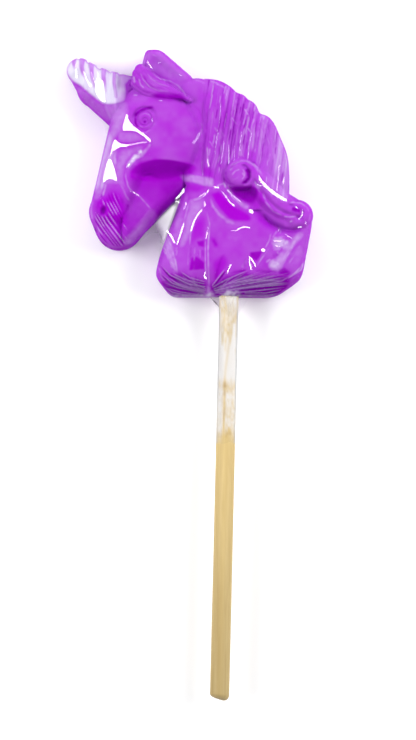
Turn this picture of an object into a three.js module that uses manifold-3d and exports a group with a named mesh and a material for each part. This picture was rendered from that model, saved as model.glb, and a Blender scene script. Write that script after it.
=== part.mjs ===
// A moulded hard-candy lollipop: a unicorn's head in relief with a flat back, sealed in a tight
// clear film, on a round wooden stick. The film's neck is gathered round the top of the stick.
// The candy in its film is one solid, and the gathered neck is a sleeve on the stick.
// Millimetres, +Z up. It lies on its back with the relief up and the stick along -Y.
//
// Plan sizes are measured from the point where the stick enters the candy: x to the right, y up
// the head. Heights are measured up from the candy's flat back.

import * as THREE from 'three';
import { mergeVertices } from 'three/addons/utils/BufferGeometryUtils.js';
import Module from 'manifold-3d';

// ---------------------------------------------------------------- driving sizes
const FILM = 0.15;            // the film's stand-off from the candy
const GAP = 0.3;              // stick to bore, stick to film sleeve
const CELL = 1.05;            // facet size of the relief
const EDGE_H = 2.5;           // least height of the rim
const BACK_TOLERANCE = 0.06;  // how closely the flat back's outline follows the rim

const STICK_D = 6.0;          // round dowel
const STICK_LENGTH = 150;
const STICK_IN_CANDY = 25.5;  // length inside the blind bore
const STICK_LEAN = 1.355;     // degrees off the head's upright, in plan
const STICK_RISE = 8.8;       // axis above the candy's back
const STICK_SIDES = 24;
const STICK_ROUND = 1.4;      // rounding of both ends

const SLEEVE_LENGTH = 45;     // film gathered on the stick, from the candy's lower edge
const SLEEVE_WALL = 0.35;     // its gathered layers
const SLEEVE_FLARE = 2.2;     // how much it widens where it meets the candy
const SLEEVE_TOP = 0.5;       // where it stops short of the candy

// neck block, anticlockwise
const NECK = [[-22.63, 9.77], [-22.94, 6.36], [-21.08, 3.41], [-17.98, 0], [13.95, -0.15], [19.22, 2.79],
  [23.1, 6.36], [24.18, 12.25], [26.35, 23.41], [25.73, 27.75], [21.39, 30.85], [3.41, 40.77], [-12.09, 38.91]];
const NECK_CORNER = 1.55;
const NECK_TOP = 17.4;        // height of its front
const NECK_LOW_ROUND = 6.5;   // rounding of its lower edge

const NAPE = { a: [-9.92, 61.23], ra: 6.67, b: [-8.99, 37.05], rb: 5.27 };
const MANE = { at: [-7.44, 34.57], rx: 25.11, ry: 31.62, left: -8.68, low: 26.51, locks: 9,
  crest: [25.89, 32.55], from: 5, to: 87, r: [2.79, 2.17], taper: 0.56, height: [12.6, 11.4], crown: 3.2 };

const SKULL = { at: [-22.01, 55.95], r: 11.78 };
const JAW = { a: [-34.1, 22.17], ra: 7.13, b: [-19.53, 37.05], rb: 7.44 };
const NOSE = { a: [-36.27, 27.75], ra: 6.67, b: [-28.21, 53.16], rb: 8.68 };
const MUZZLE = { a: [-36.58, 26.51], ra: 6.82, b: [-34.1, 21.55], rb: 6.36 };
const CHEEK = { at: [-19.84, 51.0], rx: 12.4, ry: 13.64 };
const EAR = [[-27.9, 68.67], [-28.52, 61.23], [-10.85, 59.99], [-10.85, 67.74], [-21.39, 76.88], [-25.73, 76.72]];

const HORN = { line: [[-33.17, 60.92], [-40.92, 65.1], [-46.35, 70.37]], r: [8.52, 6.39, 4.03], pitch: 3.19, ridge: 0.7, phase: -48.67 };

// forelock strands: root, bend, tip, radius at root and tip, height
const FORELOCK = [
  [[-27.28, 70.22], [-21.39, 66.5], [-12.09, 60.92], 1.55, 0.99, 15.0],
  [[-28.06, 68.98], [-24.18, 64.02], [-13.02, 61.38], 1.55, 0.99, 15.2],
  [[-28.68, 67.58], [-26.66, 62.78], [-15.19, 61.54], 1.55, 0.87, 15.1],
  [[-29.14, 66.19], [-27.28, 62.16], [-19.53, 61.85], 1.3, 0.68, 14.7],
];
const EYE = { at: [-26.04, 55.49], r: 2.9 };
const NOSTRIL = { at: [-38.97, 27.28], rx: 1.0, ry: 1.36, depth: 1.9 };
const MOUTH = [[-35.96, 14.73], [-33.48, 20.31], [-33.48, 25.89]];

// the lock that runs from the upper scroll down to the lower one
const SWEEP = [[3.41, 40.77], [10.23, 37.05], [12.71, 27.75], [21.08, 25.58]];
const SWEEP_R = { start: 2.48, end: 3.41, belly: 1.55, height: 12.0, crown: 7.0 };
const SCROLLS = [
  { at: [3.57, 38.13], r: 4.81, height: 13.2, crown: 6.4, eye: [3.72, 38.13], turn: 3.88, start: 2.6, depth: 1.5 },
  { at: [21.08, 25.27], r: 4.96, height: 10.5, crown: 7.0, eye: [20.62, 26.04], turn: 3.26, start: 2.2, depth: 1.3 },
];
const HOLLOW = { line: [[0.93, 30.23], [10.23, 28.37], [16.12, 17.83]], r: 2.79, depth: 2.2 };

// ---------------------------------------------------------------- plan and profile functions
const clamp01 = (v) => Math.min(1, Math.max(0, v));
const ease = (v) => { const t = clamp01(v); return t * t * (3 - 2 * t); };
const dome = (s) => { const t = clamp01(s); return Math.sqrt(1 - (1 - t) * (1 - t)); };
const bell = (v) => Math.exp(-v * v);
const softMax = (a, b, k) => { const h = Math.max(k - Math.abs(a - b), 0) / k; return Math.max(a, b) + h * h * k / 4; };
const softMin = (a, b, k) => -softMax(-a, -b, k);

const inDisc = (x, y, c, r) => r - Math.hypot(x - c[0], y - c[1]);
function inCapsule(x, y, { a, ra, b, rb }) {
  const dx = b[0] - a[0], dy = b[1] - a[1];
  const t = clamp01(((x - a[0]) * dx + (y - a[1]) * dy) / (dx * dx + dy * dy));
  return ra + (rb - ra) * t - Math.hypot(x - a[0] - t * dx, y - a[1] - t * dy);
}
// depth inside a string of capsules, the sideways place in it (-1 to 1) and the way along it
function inString(x, y, pts, radii) {
  let best = { d: -1e9, side: 0, along: 0 };
  const n = pts.length - 1;
  for (let i = 0; i < n; i++) {
    const a = pts[i], b = pts[i + 1], dx = b[0] - a[0], dy = b[1] - a[1], len = Math.hypot(dx, dy);
    const t = clamp01(((x - a[0]) * dx + (y - a[1]) * dy) / (len * len));
    const r = radii[i] + (radii[i + 1] - radii[i]) * t;
    const d = r - Math.hypot(x - a[0] - t * dx, y - a[1] - t * dy);
    if (d > best.d) best = { d, side: ((x - a[0]) * dy - (y - a[1]) * dx) / len / r, along: (i + t) / n };
  }
  return best;
}
function inConvex(x, y, pts, corner) {
  let d = null;
  pts.forEach((a, i) => {
    const b = pts[(i + 1) % pts.length], len = Math.hypot(b[0] - a[0], b[1] - a[1]);
    const e = (-(x - a[0]) * (b[1] - a[1]) + (y - a[1]) * (b[0] - a[0])) / len;
    d = d === null ? e : softMin(d, e, corner);
  });
  return d;
}
const flat = (v) => new THREE.Vector3(v[0], v[1], 0);
const sample = (curve, n) => curve.getPoints(n).map((p) => [p.x, p.y]);
const bend = (p, n) => sample(new THREE.QuadraticBezierCurve3(flat(p[0]), flat(p[1]), flat(p[2])), n);
const sweepLine = sample(new THREE.CubicBezierCurve3(...SWEEP.map(flat)), 14);
const sweepR = sweepLine.map((_, i) => { const t = i / 14; return SWEEP_R.start + (SWEEP_R.end - SWEEP_R.start) * t + SWEEP_R.belly * Math.sin(Math.PI * t); });
const hollowLine = bend(HOLLOW.line, 8), mouthLine = bend(MOUTH, 8);
const strands = FORELOCK.map(([a, b, c, r0, r1, h]) => ({ line: bend([a, b, c], 9), r: Array.from({ length: 10 }, (_, i) => r0 + (r1 - r0) * i / 9), h }));

// mane locks: each starts on the crest and runs down to the base of the neck
const locks = Array.from({ length: MANE.locks }, (_, i) => {
  const f = i / (MANE.locks - 1), th = THREE.MathUtils.degToRad(MANE.from + (MANE.to - MANE.from) * Math.pow(f, 0.93));
  const r = MANE.r[0] + (MANE.r[1] - MANE.r[0]) * f;
  const top = [MANE.at[0] + (MANE.crest[0] - r) * Math.sin(th), MANE.at[1] + (MANE.crest[1] - r) * Math.cos(th)];
  const end = [-6.82 + 20.46 * f, 33.33 - 1.86 * f];
  const mid = [top[0] + 0.3 + f, top[1] + (end[1] - top[1]) * 0.4];
  return { line: bend([top, mid, end], 9), r: Array.from({ length: 10 }, (_, k) => r - MANE.taper * k / 9), h: MANE.height[0] + (MANE.height[1] - MANE.height[0]) * f };
});

// one raised form: a steep edge of height base, then a crown that levels out over a width
const raised = (d, base, crown, width) => (d >= 0 ? base + crown * dome(d / width) : -1);

// how deep a point lies inside each form of the plan
function formsAt(x, y) {
  const f = {
    neck: inConvex(x, y, NECK, NECK_CORNER), nape: inCapsule(x, y, NAPE),
    mane: softMin(softMin((1 - Math.hypot((x - MANE.at[0]) / MANE.rx, (y - MANE.at[1]) / MANE.ry)) * 27.9, x - MANE.left, 1.86), y - MANE.low, 1.86),
    locks: locks.map((l) => inString(x, y, l.line, l.r)),
    skull: inDisc(x, y, SKULL.at, SKULL.r), jaw: inCapsule(x, y, JAW), nose: inCapsule(x, y, NOSE), muzzle: inCapsule(x, y, MUZZLE),
    cheek: (1 - Math.hypot((x - CHEEK.at[0]) / CHEEK.rx, (y - CHEEK.at[1]) / CHEEK.ry)) * 13.02,
    ear: inConvex(x, y, EAR, 1.24), horn: inString(x, y, HORN.line, HORN.r), strands: strands.map((s) => inString(x, y, s.line, s.r)),
    sweep: inString(x, y, sweepLine, sweepR), scrolls: SCROLLS.map((s) => inDisc(x, y, s.at, s.r)),
  };
  f.body = Math.max(f.neck, f.nape, f.mane, f.sweep.d, ...f.scrolls, ...f.locks.map((l) => l.d));
  f.head = Math.max(f.skull, f.jaw, f.nose, f.muzzle, f.cheek);
  f.top = Math.max(f.ear, ...f.strands.map((t) => t.d));
  f.depth = Math.max(f.body, f.head, f.top, f.horn.d);
  return f;
}

// the candy's height at one point; outside its outline the nearest form's edge runs on level
function heightAt(x, y) {
  const f = formsAt(x, y), out = Math.min(f.depth, 0), at = (d) => d - out;
  const neck = at(f.neck);
  let h = neck < 0 ? 0 : 4.6 * dome((neck + 0.5) / 1.86) + 10.2 * Math.min(dome(neck / 4.34), dome((y + 0.3) / NECK_LOW_ROUND)) + (NECK_TOP - 14.8) * dome(neck / 17)
    - HOLLOW.depth * bell(inString(x, y, hollowLine, hollowLine.map(() => 0.01)).d / HOLLOW.r);
  h = softMax(h, raised(at(f.nape), 7.0, 7.6, 5.27), 1.5);
  h = softMax(h, raised(at(f.mane), 8.0, 6.8, 4.65), 1.2);
  locks.forEach((l, i) => {
    const { d, side } = f.locks[i];
    h = softMax(h, raised(at(d), l.h, MANE.crown, 2.48) - (d > 0 ? 0.4 * bell((side - 0.08) / 0.15) * ease(d / 0.93) : 0), 0.5);
  });
  h = softMax(h, raised(at(f.skull), 6.5, 10.2, 7.44), 1.2);
  h = softMax(h, raised(at(f.jaw), 6.0, 7.0, 5.89), 1.0);
  h = softMax(h, raised(at(f.nose), 7.0, 9.4, 5.27), 1.4);
  h = softMax(h, raised(at(f.muzzle), 6.5, 10.5, 6.2), 1.6);
  h = softMax(h, f.cheek > 0 ? 7.5 * dome(f.cheek / 0.93) + 12.3 * dome(f.cheek / 9.3) : -1, 3.0);
  h = softMax(h, raised(at(f.ear), 8, 6.5, 2.48) - ease((f.ear - 1.86) / 2.48) * ease((y - 61.2) / 9.3), 0.8);
  const horn = at(f.horn.d), along = f.horn.along;
  h = softMax(h, raised(horn, 4.5, 8 - 3 * along, 6.2 - 2.48 * along)
    + HORN.ridge * Math.cos(2 * Math.PI * (x - HORN.phase) / HORN.pitch) * dome(horn / 2.17) * ease((f.horn.side + 0.62) / 0.25), 1.0);
  strands.forEach((s, i) => { h = softMax(h, raised(at(f.strands[i].d), s.h, 2.2, 1.43), 0.5); });

  const re = Math.hypot(x - EYE.at[0], y - EYE.at[1]);
  h += 0.35 * bell((re - EYE.r) / 0.56) + 0.6 * dome((2.3 - re) / 2.3);

  h = softMax(h, raised(at(f.sweep.d), SWEEP_R.height, SWEEP_R.crown, 4.03), 0.8);
  SCROLLS.forEach((s, i) => { h = softMax(h, raised(at(f.scrolls[i]), s.height, s.crown, 3.72), 0.8); });
  for (const s of SCROLLS) {
    const dx = x - s.eye[0], dy = y - s.eye[1], r = Math.hypot(dx, dy), pitch = s.turn * 0.62;
    const turn = (((Math.atan2(dy, dx) - s.start) / (2 * Math.PI)) % 1 + 1) % 1;
    const off = Math.min(Math.abs(r - (turn + 0.45) * pitch), Math.abs(r - (turn + 1.45) * pitch));
    h -= s.depth * bell(off / 0.5) * ease((s.turn + 0.31 - r) / 0.78) * ease(r / 0.93);
  }
  const nx = (x - NOSTRIL.at[0]) / NOSTRIL.rx, ny = (y - NOSTRIL.at[1]) / NOSTRIL.ry;
  h -= NOSTRIL.depth * Math.exp(-Math.pow(nx * nx + ny * ny, 1.5));
  if (f.muzzle > -1) h -= 0.5 * bell(Math.min(inString(x, y, mouthLine, mouthLine.map(() => 0.2)).d, 0) / 0.5);
  return Math.max(h, EDGE_H);
}

// the film's outline follows the candy's and bridges the throat and the corners at horn and ear
function filmDepth(x, y) {
  const f = formsAt(x, y);
  return softMax(softMax(softMax(f.body, f.head, 11), f.horn.d, 5), f.top, 3);
}

// ---------------------------------------------------------------- relief slabs
// A flat-backed slab over the region where depth(x, y) > 0: a square net whose nodes near the
// outline are pulled on to it, cells cut at the outline, walls down to the back and a flat back.
const BOX = { x0: -55, y0: -5, x1: 32.5, y1: 82.5 };
function net(cell, depth) {
  const nx = Math.round((BOX.x1 - BOX.x0) / cell), ny = Math.round((BOX.y1 - BOX.y0) / cell);
  const at = (i, j) => j * (nx + 1) + i;
  const pts = [], dep = [];
  for (let j = 0; j <= ny; j++) for (let i = 0; i <= nx; i++) {
    let x = BOX.x0 + i * cell, y = BOX.y0 + j * cell, d = depth(x, y);
    if (Math.abs(d) < 0.9 * cell) {
      let px = x, py = y, pd = d;
      for (let k = 0; k < 4; k++) {
        const e = 0.02, gx = (depth(px + e, py) - depth(px - e, py)) / (2 * e), gy = (depth(px, py + e) - depth(px, py - e)) / (2 * e);
        const g = Math.max(0.3, gx * gx + gy * gy);
        px -= pd * gx / g; py -= pd * gy / g; pd = depth(px, py);
      }
      if (Math.hypot(px - x, py - y) < 0.4 * cell && Math.abs(pd) < 0.02) { x = px; y = py; d = 0; }
    }
    pts.push([x, y]); dep.push(d);
  }
  const cuts = new Map(), tris = [];
  const cut = (p, q) => {
    const key = p < q ? p + '_' + q : q + '_' + p;
    if (!cuts.has(key)) {
      let lo = dep[p] > 0 ? p : q, hi = lo === p ? q : p, t0 = 0, t1 = 1;
      const on = (t) => [pts[lo][0] + (pts[hi][0] - pts[lo][0]) * t, pts[lo][1] + (pts[hi][1] - pts[lo][1]) * t];
      for (let k = 0; k < 24; k++) { const t = (t0 + t1) / 2; if (depth(...on(t)) > 0) t0 = t; else t1 = t; }
      pts.push(on(t0)); dep.push(0); cuts.set(key, pts.length - 1);
    }
    return cuts.get(key);
  };
  const take = (a, b, c) => {
    const s = [a, b, c], ins = s.filter((p) => dep[p] > 0), out = s.filter((p) => dep[p] < 0);
    if (!ins.length) return;
    if (!out.length) { tris.push(s); return; }
    const ring = [];
    s.forEach((p, k) => {
      const q = s[(k + 1) % 3];
      if (dep[p] >= 0) ring.push(p);
      if (dep[p] * dep[q] < 0) ring.push(cut(p, q));
    });
    for (let k = 2; k < ring.length; k++) tris.push([ring[0], ring[k - 1], ring[k]]);
  };
  for (let j = 0; j < ny; j++) for (let i = 0; i < nx; i++) {
    take(at(i, j), at(i + 1, j), at(i + 1, j + 1));
    take(at(i, j), at(i + 1, j + 1), at(i, j + 1));
  }
  // the outline: edges used once, walked in order, the longest loop
  const edge = new Map();
  for (const t of tris) for (let k = 0; k < 3; k++) {
    const p = t[k], q = t[(k + 1) % 3];
    if (edge.has(q + '_' + p)) edge.delete(q + '_' + p); else edge.set(p + '_' + q, [p, q]);
  }
  const next = new Map([...edge.values()]), loops = [];
  while (next.size) {
    const loop = []; let p = next.keys().next().value;
    while (next.has(p)) { const q = next.get(p); next.delete(p); loop.push(p); p = q; }
    loops.push(loop);
  }
  loops.sort((a, b) => b.length - a.length);
  return { pts, tris, rim: loops[0], loops: loops.length };
}
// places in a closed ring of points that are needed to keep it within a tolerance
function thinned(ring, tolerance) {
  const n = ring.length, keep = new Set();
  const walk = (i, j) => {
    const a = ring[i % n], b = ring[j % n], len = Math.hypot(b[0] - a[0], b[1] - a[1]) || 1;
    let far = tolerance, at = -1;
    for (let k = i + 1; k < j; k++) {
      const p = ring[k % n], e = Math.abs((b[0] - a[0]) * (p[1] - a[1]) - (b[1] - a[1]) * (p[0] - a[0])) / len;
      if (e > far) { far = e; at = k; }
    }
    if (at > 0) { walk(i, at); keep.add(at % n); walk(at, j); }
  };
  let far = 0;
  ring.forEach((p, i) => { if (Math.hypot(p[0] - ring[0][0], p[1] - ring[0][1]) > Math.hypot(ring[far][0] - ring[0][0], ring[far][1] - ring[0][1])) far = i; });
  keep.add(0).add(far);
  walk(0, far); walk(far, n);
  return [...keep].sort((a, b) => a - b);
}
function slab(mesh, heights, back) {
  const { pts, tris, rim } = mesh, pos = [], idx = [], top = new Map();
  const add = (p, z) => { pos.push(p[0], p[1], z); return pos.length / 3 - 1; };
  const up = (p) => { if (!top.has(p)) top.set(p, add(pts[p], heights[p])); return top.get(p); };
  for (const t of tris) idx.push(up(t[0]), up(t[1]), up(t[2]));
  const ring = rim.map((p) => pts[p]), kept = thinned(ring, BACK_TOLERANCE), low = kept.map((k) => add(ring[k], back));
  kept.forEach((k, i) => {
    const j = (i + 1) % kept.length, end = j === 0 ? kept[0] + rim.length : kept[j], mid = Math.floor((k + end) / 2);
    for (let q = k; q < end; q++) {
      const a = top.get(rim[q % rim.length]), b = top.get(rim[(q + 1) % rim.length]);
      if (q === mid) idx.push(low[i], low[j], a);
      idx.push(q < mid ? low[i] : low[j], b, a);
    }
  });
  for (const f of THREE.ShapeUtils.triangulateShape(kept.map((k) => new THREE.Vector2(...ring[k])), [])) idx.push(low[f[0]], low[f[2]], low[f[1]]);
  const g = new THREE.BufferGeometry();
  g.setAttribute('position', new THREE.Float32BufferAttribute(pos, 3));
  g.setIndex(idx);
  return g;
}

// ---------------------------------------------------------------- joining and cutting
const wasm = await Module();
wasm.setup();
function solid(geometry, matrix) {
  let g = geometry.clone();
  for (const name of Object.keys(g.attributes)) if (name !== 'position') g.deleteAttribute(name);
  if (matrix) g.applyMatrix4(matrix);
  g = mergeVertices(g, 1e-4);
  const index = [], src = g.index.array;
  for (let i = 0; i < src.length; i += 3) if (src[i] !== src[i + 1] && src[i + 1] !== src[i + 2] && src[i] !== src[i + 2]) index.push(src[i], src[i + 1], src[i + 2]);
  return new wasm.Manifold(new wasm.Mesh({ numProp: 3, vertProperties: new Float32Array(g.attributes.position.array), triVerts: new Uint32Array(index) }));
}
// facets too thin to matter are turned into their neighbours, and edges too short are closed up
const SHORT = 0.04, THIN = 0.012;
function tidied(pos, index) {
  const at = (i) => new THREE.Vector3(pos[3 * i], pos[3 * i + 1], pos[3 * i + 2]);
  let tris = [];
  for (let i = 0; i < index.length; i += 3) tris.push([index[i], index[i + 1], index[i + 2]]);
  for (let pass = 0, busy = true; busy && pass < 200; pass++) {
    const edge = new Map();
    tris.forEach((t, k) => t.forEach((a, e) => edge.set(a + '_' + t[(e + 1) % 3], k)));
    const round = (v) => new Set(tris.filter((t) => t.includes(v)).flat().filter((w) => w !== v));
    busy = false;
    for (let k = 0; k < tris.length && !busy; k++) {
      const t = tris[k], [A, B, C] = t.map(at), len = [A.distanceTo(B), B.distanceTo(C), C.distanceTo(A)];
      const short = len.indexOf(Math.min(...len)), long = len.indexOf(Math.max(...len));
      const width = B.clone().sub(A).cross(C.clone().sub(A)).length() / len[long];
      if (len[short] < SHORT) {
        const a = t[short], b = t[(short + 1) % 3], near = round(b);
        if ([...round(a)].filter((v) => near.has(v)).length !== 2) continue;
        tris = tris.map((s) => s.map((v) => (v === b ? a : v))).filter((s) => s[0] !== s[1] && s[1] !== s[2] && s[2] !== s[0]);
        busy = true;
      } else if (width < THIN) {
        const a = t[long], b = t[(long + 1) % 3], c = t[(long + 2) % 3], n = edge.get(b + '_' + a), d = tris[n].find((v) => v !== a && v !== b);
        if (edge.has(c + '_' + d) || edge.has(d + '_' + c)) continue;
        tris[k] = [a, d, c]; tris[n] = [d, b, c];
        busy = true;
      }
    }
  }
  return tris.flat();
}
function shape(manifold) {
  const m = manifold.getMesh(), g = new THREE.BufferGeometry();
  g.setAttribute('position', new THREE.Float32BufferAttribute(Array.from(m.vertProperties), 3));
  g.setIndex(tidied(m.vertProperties, Array.from(m.triVerts)));
  g.computeVertexNormals();
  return g;
}

// ---------------------------------------------------------------- wrapped candy
const wrapNet = net(CELL, (x, y) => filmDepth(x, y) + FILM);
const wrapTop = wrapNet.pts.map((p) => heightAt(...p) + FILM);

// ---------------------------------------------------------------- stick, bore and sleeve
// turned profiles run along the stick: 0 at the candy's lower edge, positive into the candy
const stickAxis = new THREE.Matrix4().makeTranslation(0, 0, STICK_RISE)
  .multiply(new THREE.Matrix4().makeRotationZ(-THREE.MathUtils.degToRad(STICK_LEAN)));
function turned(profile, sides) {
  return new THREE.LatheGeometry(profile.map(([r, s]) => new THREE.Vector2(r, s)), sides);
}
const R = STICK_D / 2;
const roundEnd = (s, way) => [0, 30, 60, 90].map((a) => {
  const t = THREE.MathUtils.degToRad(a);
  return [R - STICK_ROUND * (1 - Math.sin(t)), s + way * STICK_ROUND * (1 - Math.cos(t))];
});
const stickLow = STICK_IN_CANDY - STICK_LENGTH;
const stick = solid(turned([[0, stickLow], ...roundEnd(stickLow, 1), ...roundEnd(STICK_IN_CANDY, -1).reverse(), [0, STICK_IN_CANDY]], STICK_SIDES), stickAxis);
const bore = solid(turned([[0, -12], [R + GAP, -12], [R + GAP, STICK_IN_CANDY + GAP], [0, STICK_IN_CANDY + GAP]], STICK_SIDES), stickAxis);
const IN = R + GAP, OUT = IN + SLEEVE_WALL;
const sleeve = solid(turned([[IN, -SLEEVE_LENGTH], [OUT, -SLEEVE_LENGTH], [OUT, -7], [OUT + 0.12 * SLEEVE_FLARE, -5],
  [OUT + 0.42 * SLEEVE_FLARE, -3], [OUT + SLEEVE_FLARE, -SLEEVE_TOP], [IN, -SLEEVE_TOP], [IN, -SLEEVE_LENGTH]], STICK_SIDES), stickAxis);

const wrappedCandy = solid(slab(wrapNet, wrapTop, 0)).subtract(bore);

// ---------------------------------------------------------------- the part
const piece = (name, manifold, color, roughness, extra = {}) => {
  const mesh = new THREE.Mesh(shape(manifold), new THREE.MeshStandardMaterial({ color, roughness, metalness: 0, ...extra }));
  mesh.name = name;
  return mesh;
};
const lollipop = new THREE.Group();
lollipop.add(
  piece('wrapped_candy', wrappedCandy, 0xb03cd8, 0.2),
  piece('film_sleeve', sleeve, 0xf6f2f8, 0.15, { transparent: true, opacity: 0.35 }),
  piece('stick', stick, 0xdec591, 0.6),
);
// the origin is under the middle of the part's box
const box = new THREE.Box3().setFromObject(lollipop);
lollipop.position.set(-(box.min.x + box.max.x) / 2, -(box.min.y + box.max.y) / 2, -box.min.z);

export default lollipop;
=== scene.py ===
import math

import bmesh
import bpy
import numpy as np
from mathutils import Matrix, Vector


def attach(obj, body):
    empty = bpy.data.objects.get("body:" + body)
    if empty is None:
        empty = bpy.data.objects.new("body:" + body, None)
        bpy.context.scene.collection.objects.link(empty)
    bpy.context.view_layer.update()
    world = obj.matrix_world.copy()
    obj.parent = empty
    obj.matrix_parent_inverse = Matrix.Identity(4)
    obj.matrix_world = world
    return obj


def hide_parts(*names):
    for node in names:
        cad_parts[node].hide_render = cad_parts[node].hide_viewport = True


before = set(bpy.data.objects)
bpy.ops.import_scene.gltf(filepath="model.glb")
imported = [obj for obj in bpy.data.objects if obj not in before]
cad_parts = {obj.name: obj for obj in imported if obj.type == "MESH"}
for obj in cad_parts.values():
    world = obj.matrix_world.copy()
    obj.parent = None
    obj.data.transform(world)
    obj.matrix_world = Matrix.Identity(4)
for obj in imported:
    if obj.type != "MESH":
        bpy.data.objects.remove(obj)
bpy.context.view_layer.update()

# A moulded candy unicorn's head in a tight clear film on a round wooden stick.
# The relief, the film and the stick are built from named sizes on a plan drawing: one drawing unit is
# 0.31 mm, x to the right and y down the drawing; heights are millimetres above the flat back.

U = 0.31                                   # drawing unit, mm
OX, OY = 229.0, 297.5                      # drawing point where the stick enters the candy
SHIFT = np.array([12.169, 23.775, 0.0])    # that point in the row frame, mm
LEAN = math.radians(1.355)                 # stick off the head's upright, in plan
STICK_R, STICK_RISE, STICK_LOW, STICK_TOP = 3.0, 8.8, -124.5, 25.5
SLEEVE_END = -45.0
FILM = 0.15                                # the film's stand-off at the sides
LIFT = 0.40                                # and on the front


def P(p):
    return ((p[0] - OX) * U, (OY - p[1]) * U)


# ------------------------------------------------------------------ plan and profile functions
def cl(v):
    return np.clip(v, 0.0, 1.0)


def ease(v):
    t = cl(v)
    return t * t * (3 - 2 * t)


def q(s):
    t = 1 - cl(s)
    return np.sqrt(np.maximum(0, 1 - t * t))


def bell(v):
    return np.exp(-v * v)


def smax(a, b, k):
    h = np.maximum(k - np.abs(a - b), 0) / k
    return np.maximum(a, b) + h * h * k * 0.25


def smin(a, b, k):
    return -smax(-a, -b, k)


def rmin(a, b, r):
    """the lesser of two depths with a round edge of radius r between them"""
    both = r - np.hypot(np.maximum(r - a, 0), np.maximum(r - b, 0))
    return np.where((a < r) & (b < r), both, np.minimum(a, b))


def disc(x, y, c, r):
    return r - np.hypot(x - c[0], y - c[1])


def capsule(x, y, a, ra, b, rb):
    dx, dy = b[0] - a[0], b[1] - a[1]
    t = cl(((x - a[0]) * dx + (y - a[1]) * dy) / (dx * dx + dy * dy))
    return ra + (rb - ra) * t - np.hypot(x - a[0] - t * dx, y - a[1] - t * dy)


def chain(x, y, pts, rad):
    """depth inside a string of capsules, the sideways place in it (-1 to 1) and the way along it"""
    n = len(pts) - 1
    best, lat, al = np.full(x.shape, -1e9), np.zeros(x.shape), np.zeros(x.shape)
    for i in range(n):
        p, v = i / n, (i + 1) / n
        ra, rb, a, b = rad(p), rad(v), pts[i], pts[i + 1]
        dx, dy = b[0] - a[0], b[1] - a[1]
        ln = math.hypot(dx, dy)
        t = cl(((x - a[0]) * dx + (y - a[1]) * dy) / (ln * ln))
        r = ra + (rb - ra) * t
        d = r - np.hypot(x - a[0] - t * dx, y - a[1] - t * dy)
        s = ((x - a[0]) * dy - (y - a[1]) * dx) / ln / r
        m = d > best
        best, lat, al = np.where(m, d, best), np.where(m, s, lat), np.where(m, p + (v - p) * t, al)
    return best, lat, al


def convex(x, y, pts, k):
    d, n = None, len(pts)
    for i in range(n):
        (ax, ay), (bx, by) = pts[i], pts[(i + 1) % n]
        ln = math.hypot(bx - ax, by - ay)
        e = -(x - ax) * (by - ay) / ln + (y - ay) * (bx - ax) / ln
        d = e if d is None else smin(d, e, k)
    return d


def bez(p0, p1, p2, n):
    t = np.linspace(0, 1, n + 1)[:, None]
    return (1 - t) ** 2 * np.array(p0) + 2 * t * (1 - t) * np.array(p1) + t * t * np.array(p2)


def bez3(p0, p1, p2, p3, n):
    t = np.linspace(0, 1, n + 1)[:, None]
    p0, p1, p2, p3 = map(np.array, (p0, p1, p2, p3))
    return (1 - t) ** 3 * p0 + 3 * t * (1 - t) ** 2 * p1 + 3 * t * t * (1 - t) * p2 + t ** 3 * p3


def hash2(i, j):
    """a fixed pseudo-random number from 0 to 1 for whole numbers i and j"""
    v = np.sin(np.asarray(i) * 127.1 + np.asarray(j) * 311.7) * 43758.5453
    return v - np.floor(v)


def noise(x, y):
    """smooth value noise, about -1 to 1, one cell per unit"""
    i, j = np.floor(x), np.floor(y)
    u, v = ease(x - i), ease(y - j)
    a = hash2(i, j) * (1 - u) + hash2(i + 1, j) * u
    b = hash2(i, j + 1) * (1 - u) + hash2(i + 1, j + 1) * u
    return 2 * (a * (1 - v) + b * v) - 1


# ------------------------------------------------------------------ the candy's relief
def V(p):
    return (p[0], -p[1])


NECK = [V(p) for p in [(156, 266), (155, 277), (161, 286.5), (171, 297.5), (274, 298), (291, 288.5), (303.5, 277),
                       (307, 258), (314, 222), (312, 208), (298, 198), (240, 166), (190, 172)]]
EAR = [V(p) for p in [(139, 76), (137, 100), (194, 104), (194, 79), (160, 49.5), (146, 50)]]
# forelock strands: root, bend, tip, half-width at root and tip, height
FORELOCK = [((141, 71), (159, 84), (190, 101), 6.4, 3.6, 15.0), ((138.5, 75), (151, 90), (187, 99.5), 6.2, 3.4, 15.2),
            ((136.5, 79.5), (143, 95), (180, 99), 5.0, 2.8, 15.1), ((135, 84), (141, 97), (166, 98), 4.2, 2.2, 14.7)]
HORN = [V((122, 101)), V((97, 87.5)), V((79.5, 70.5))]
HORN_RIDGES = (74.0, 83.2, 92.6, 104.4, 115.0)   # ridges across the horn, by x
# scrolls: middle, radius, wall, crown
SCROLLS = [((241, 175), 17.5, 14.2, 4.4), ((297, 216), 16, 12.4, 4.6)]
JAW_LINE = ((0, 127), (175, 127), (180, 128), (190, 133), (196, 138), (212, 153), (400, 300))   # where the nose ends: y, x


def groove(x, y, pts, width, depth, ends=0.15):
    """a round-bottomed groove along a line, fading at its ends"""
    d, lat, al = chain(x, y, [V(p) for p in pts], lambda t: 0.01)
    return depth * bell(d / width) * ease(al / ends + 0.001) * ease((1 - al) / ends + 0.001)


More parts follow.
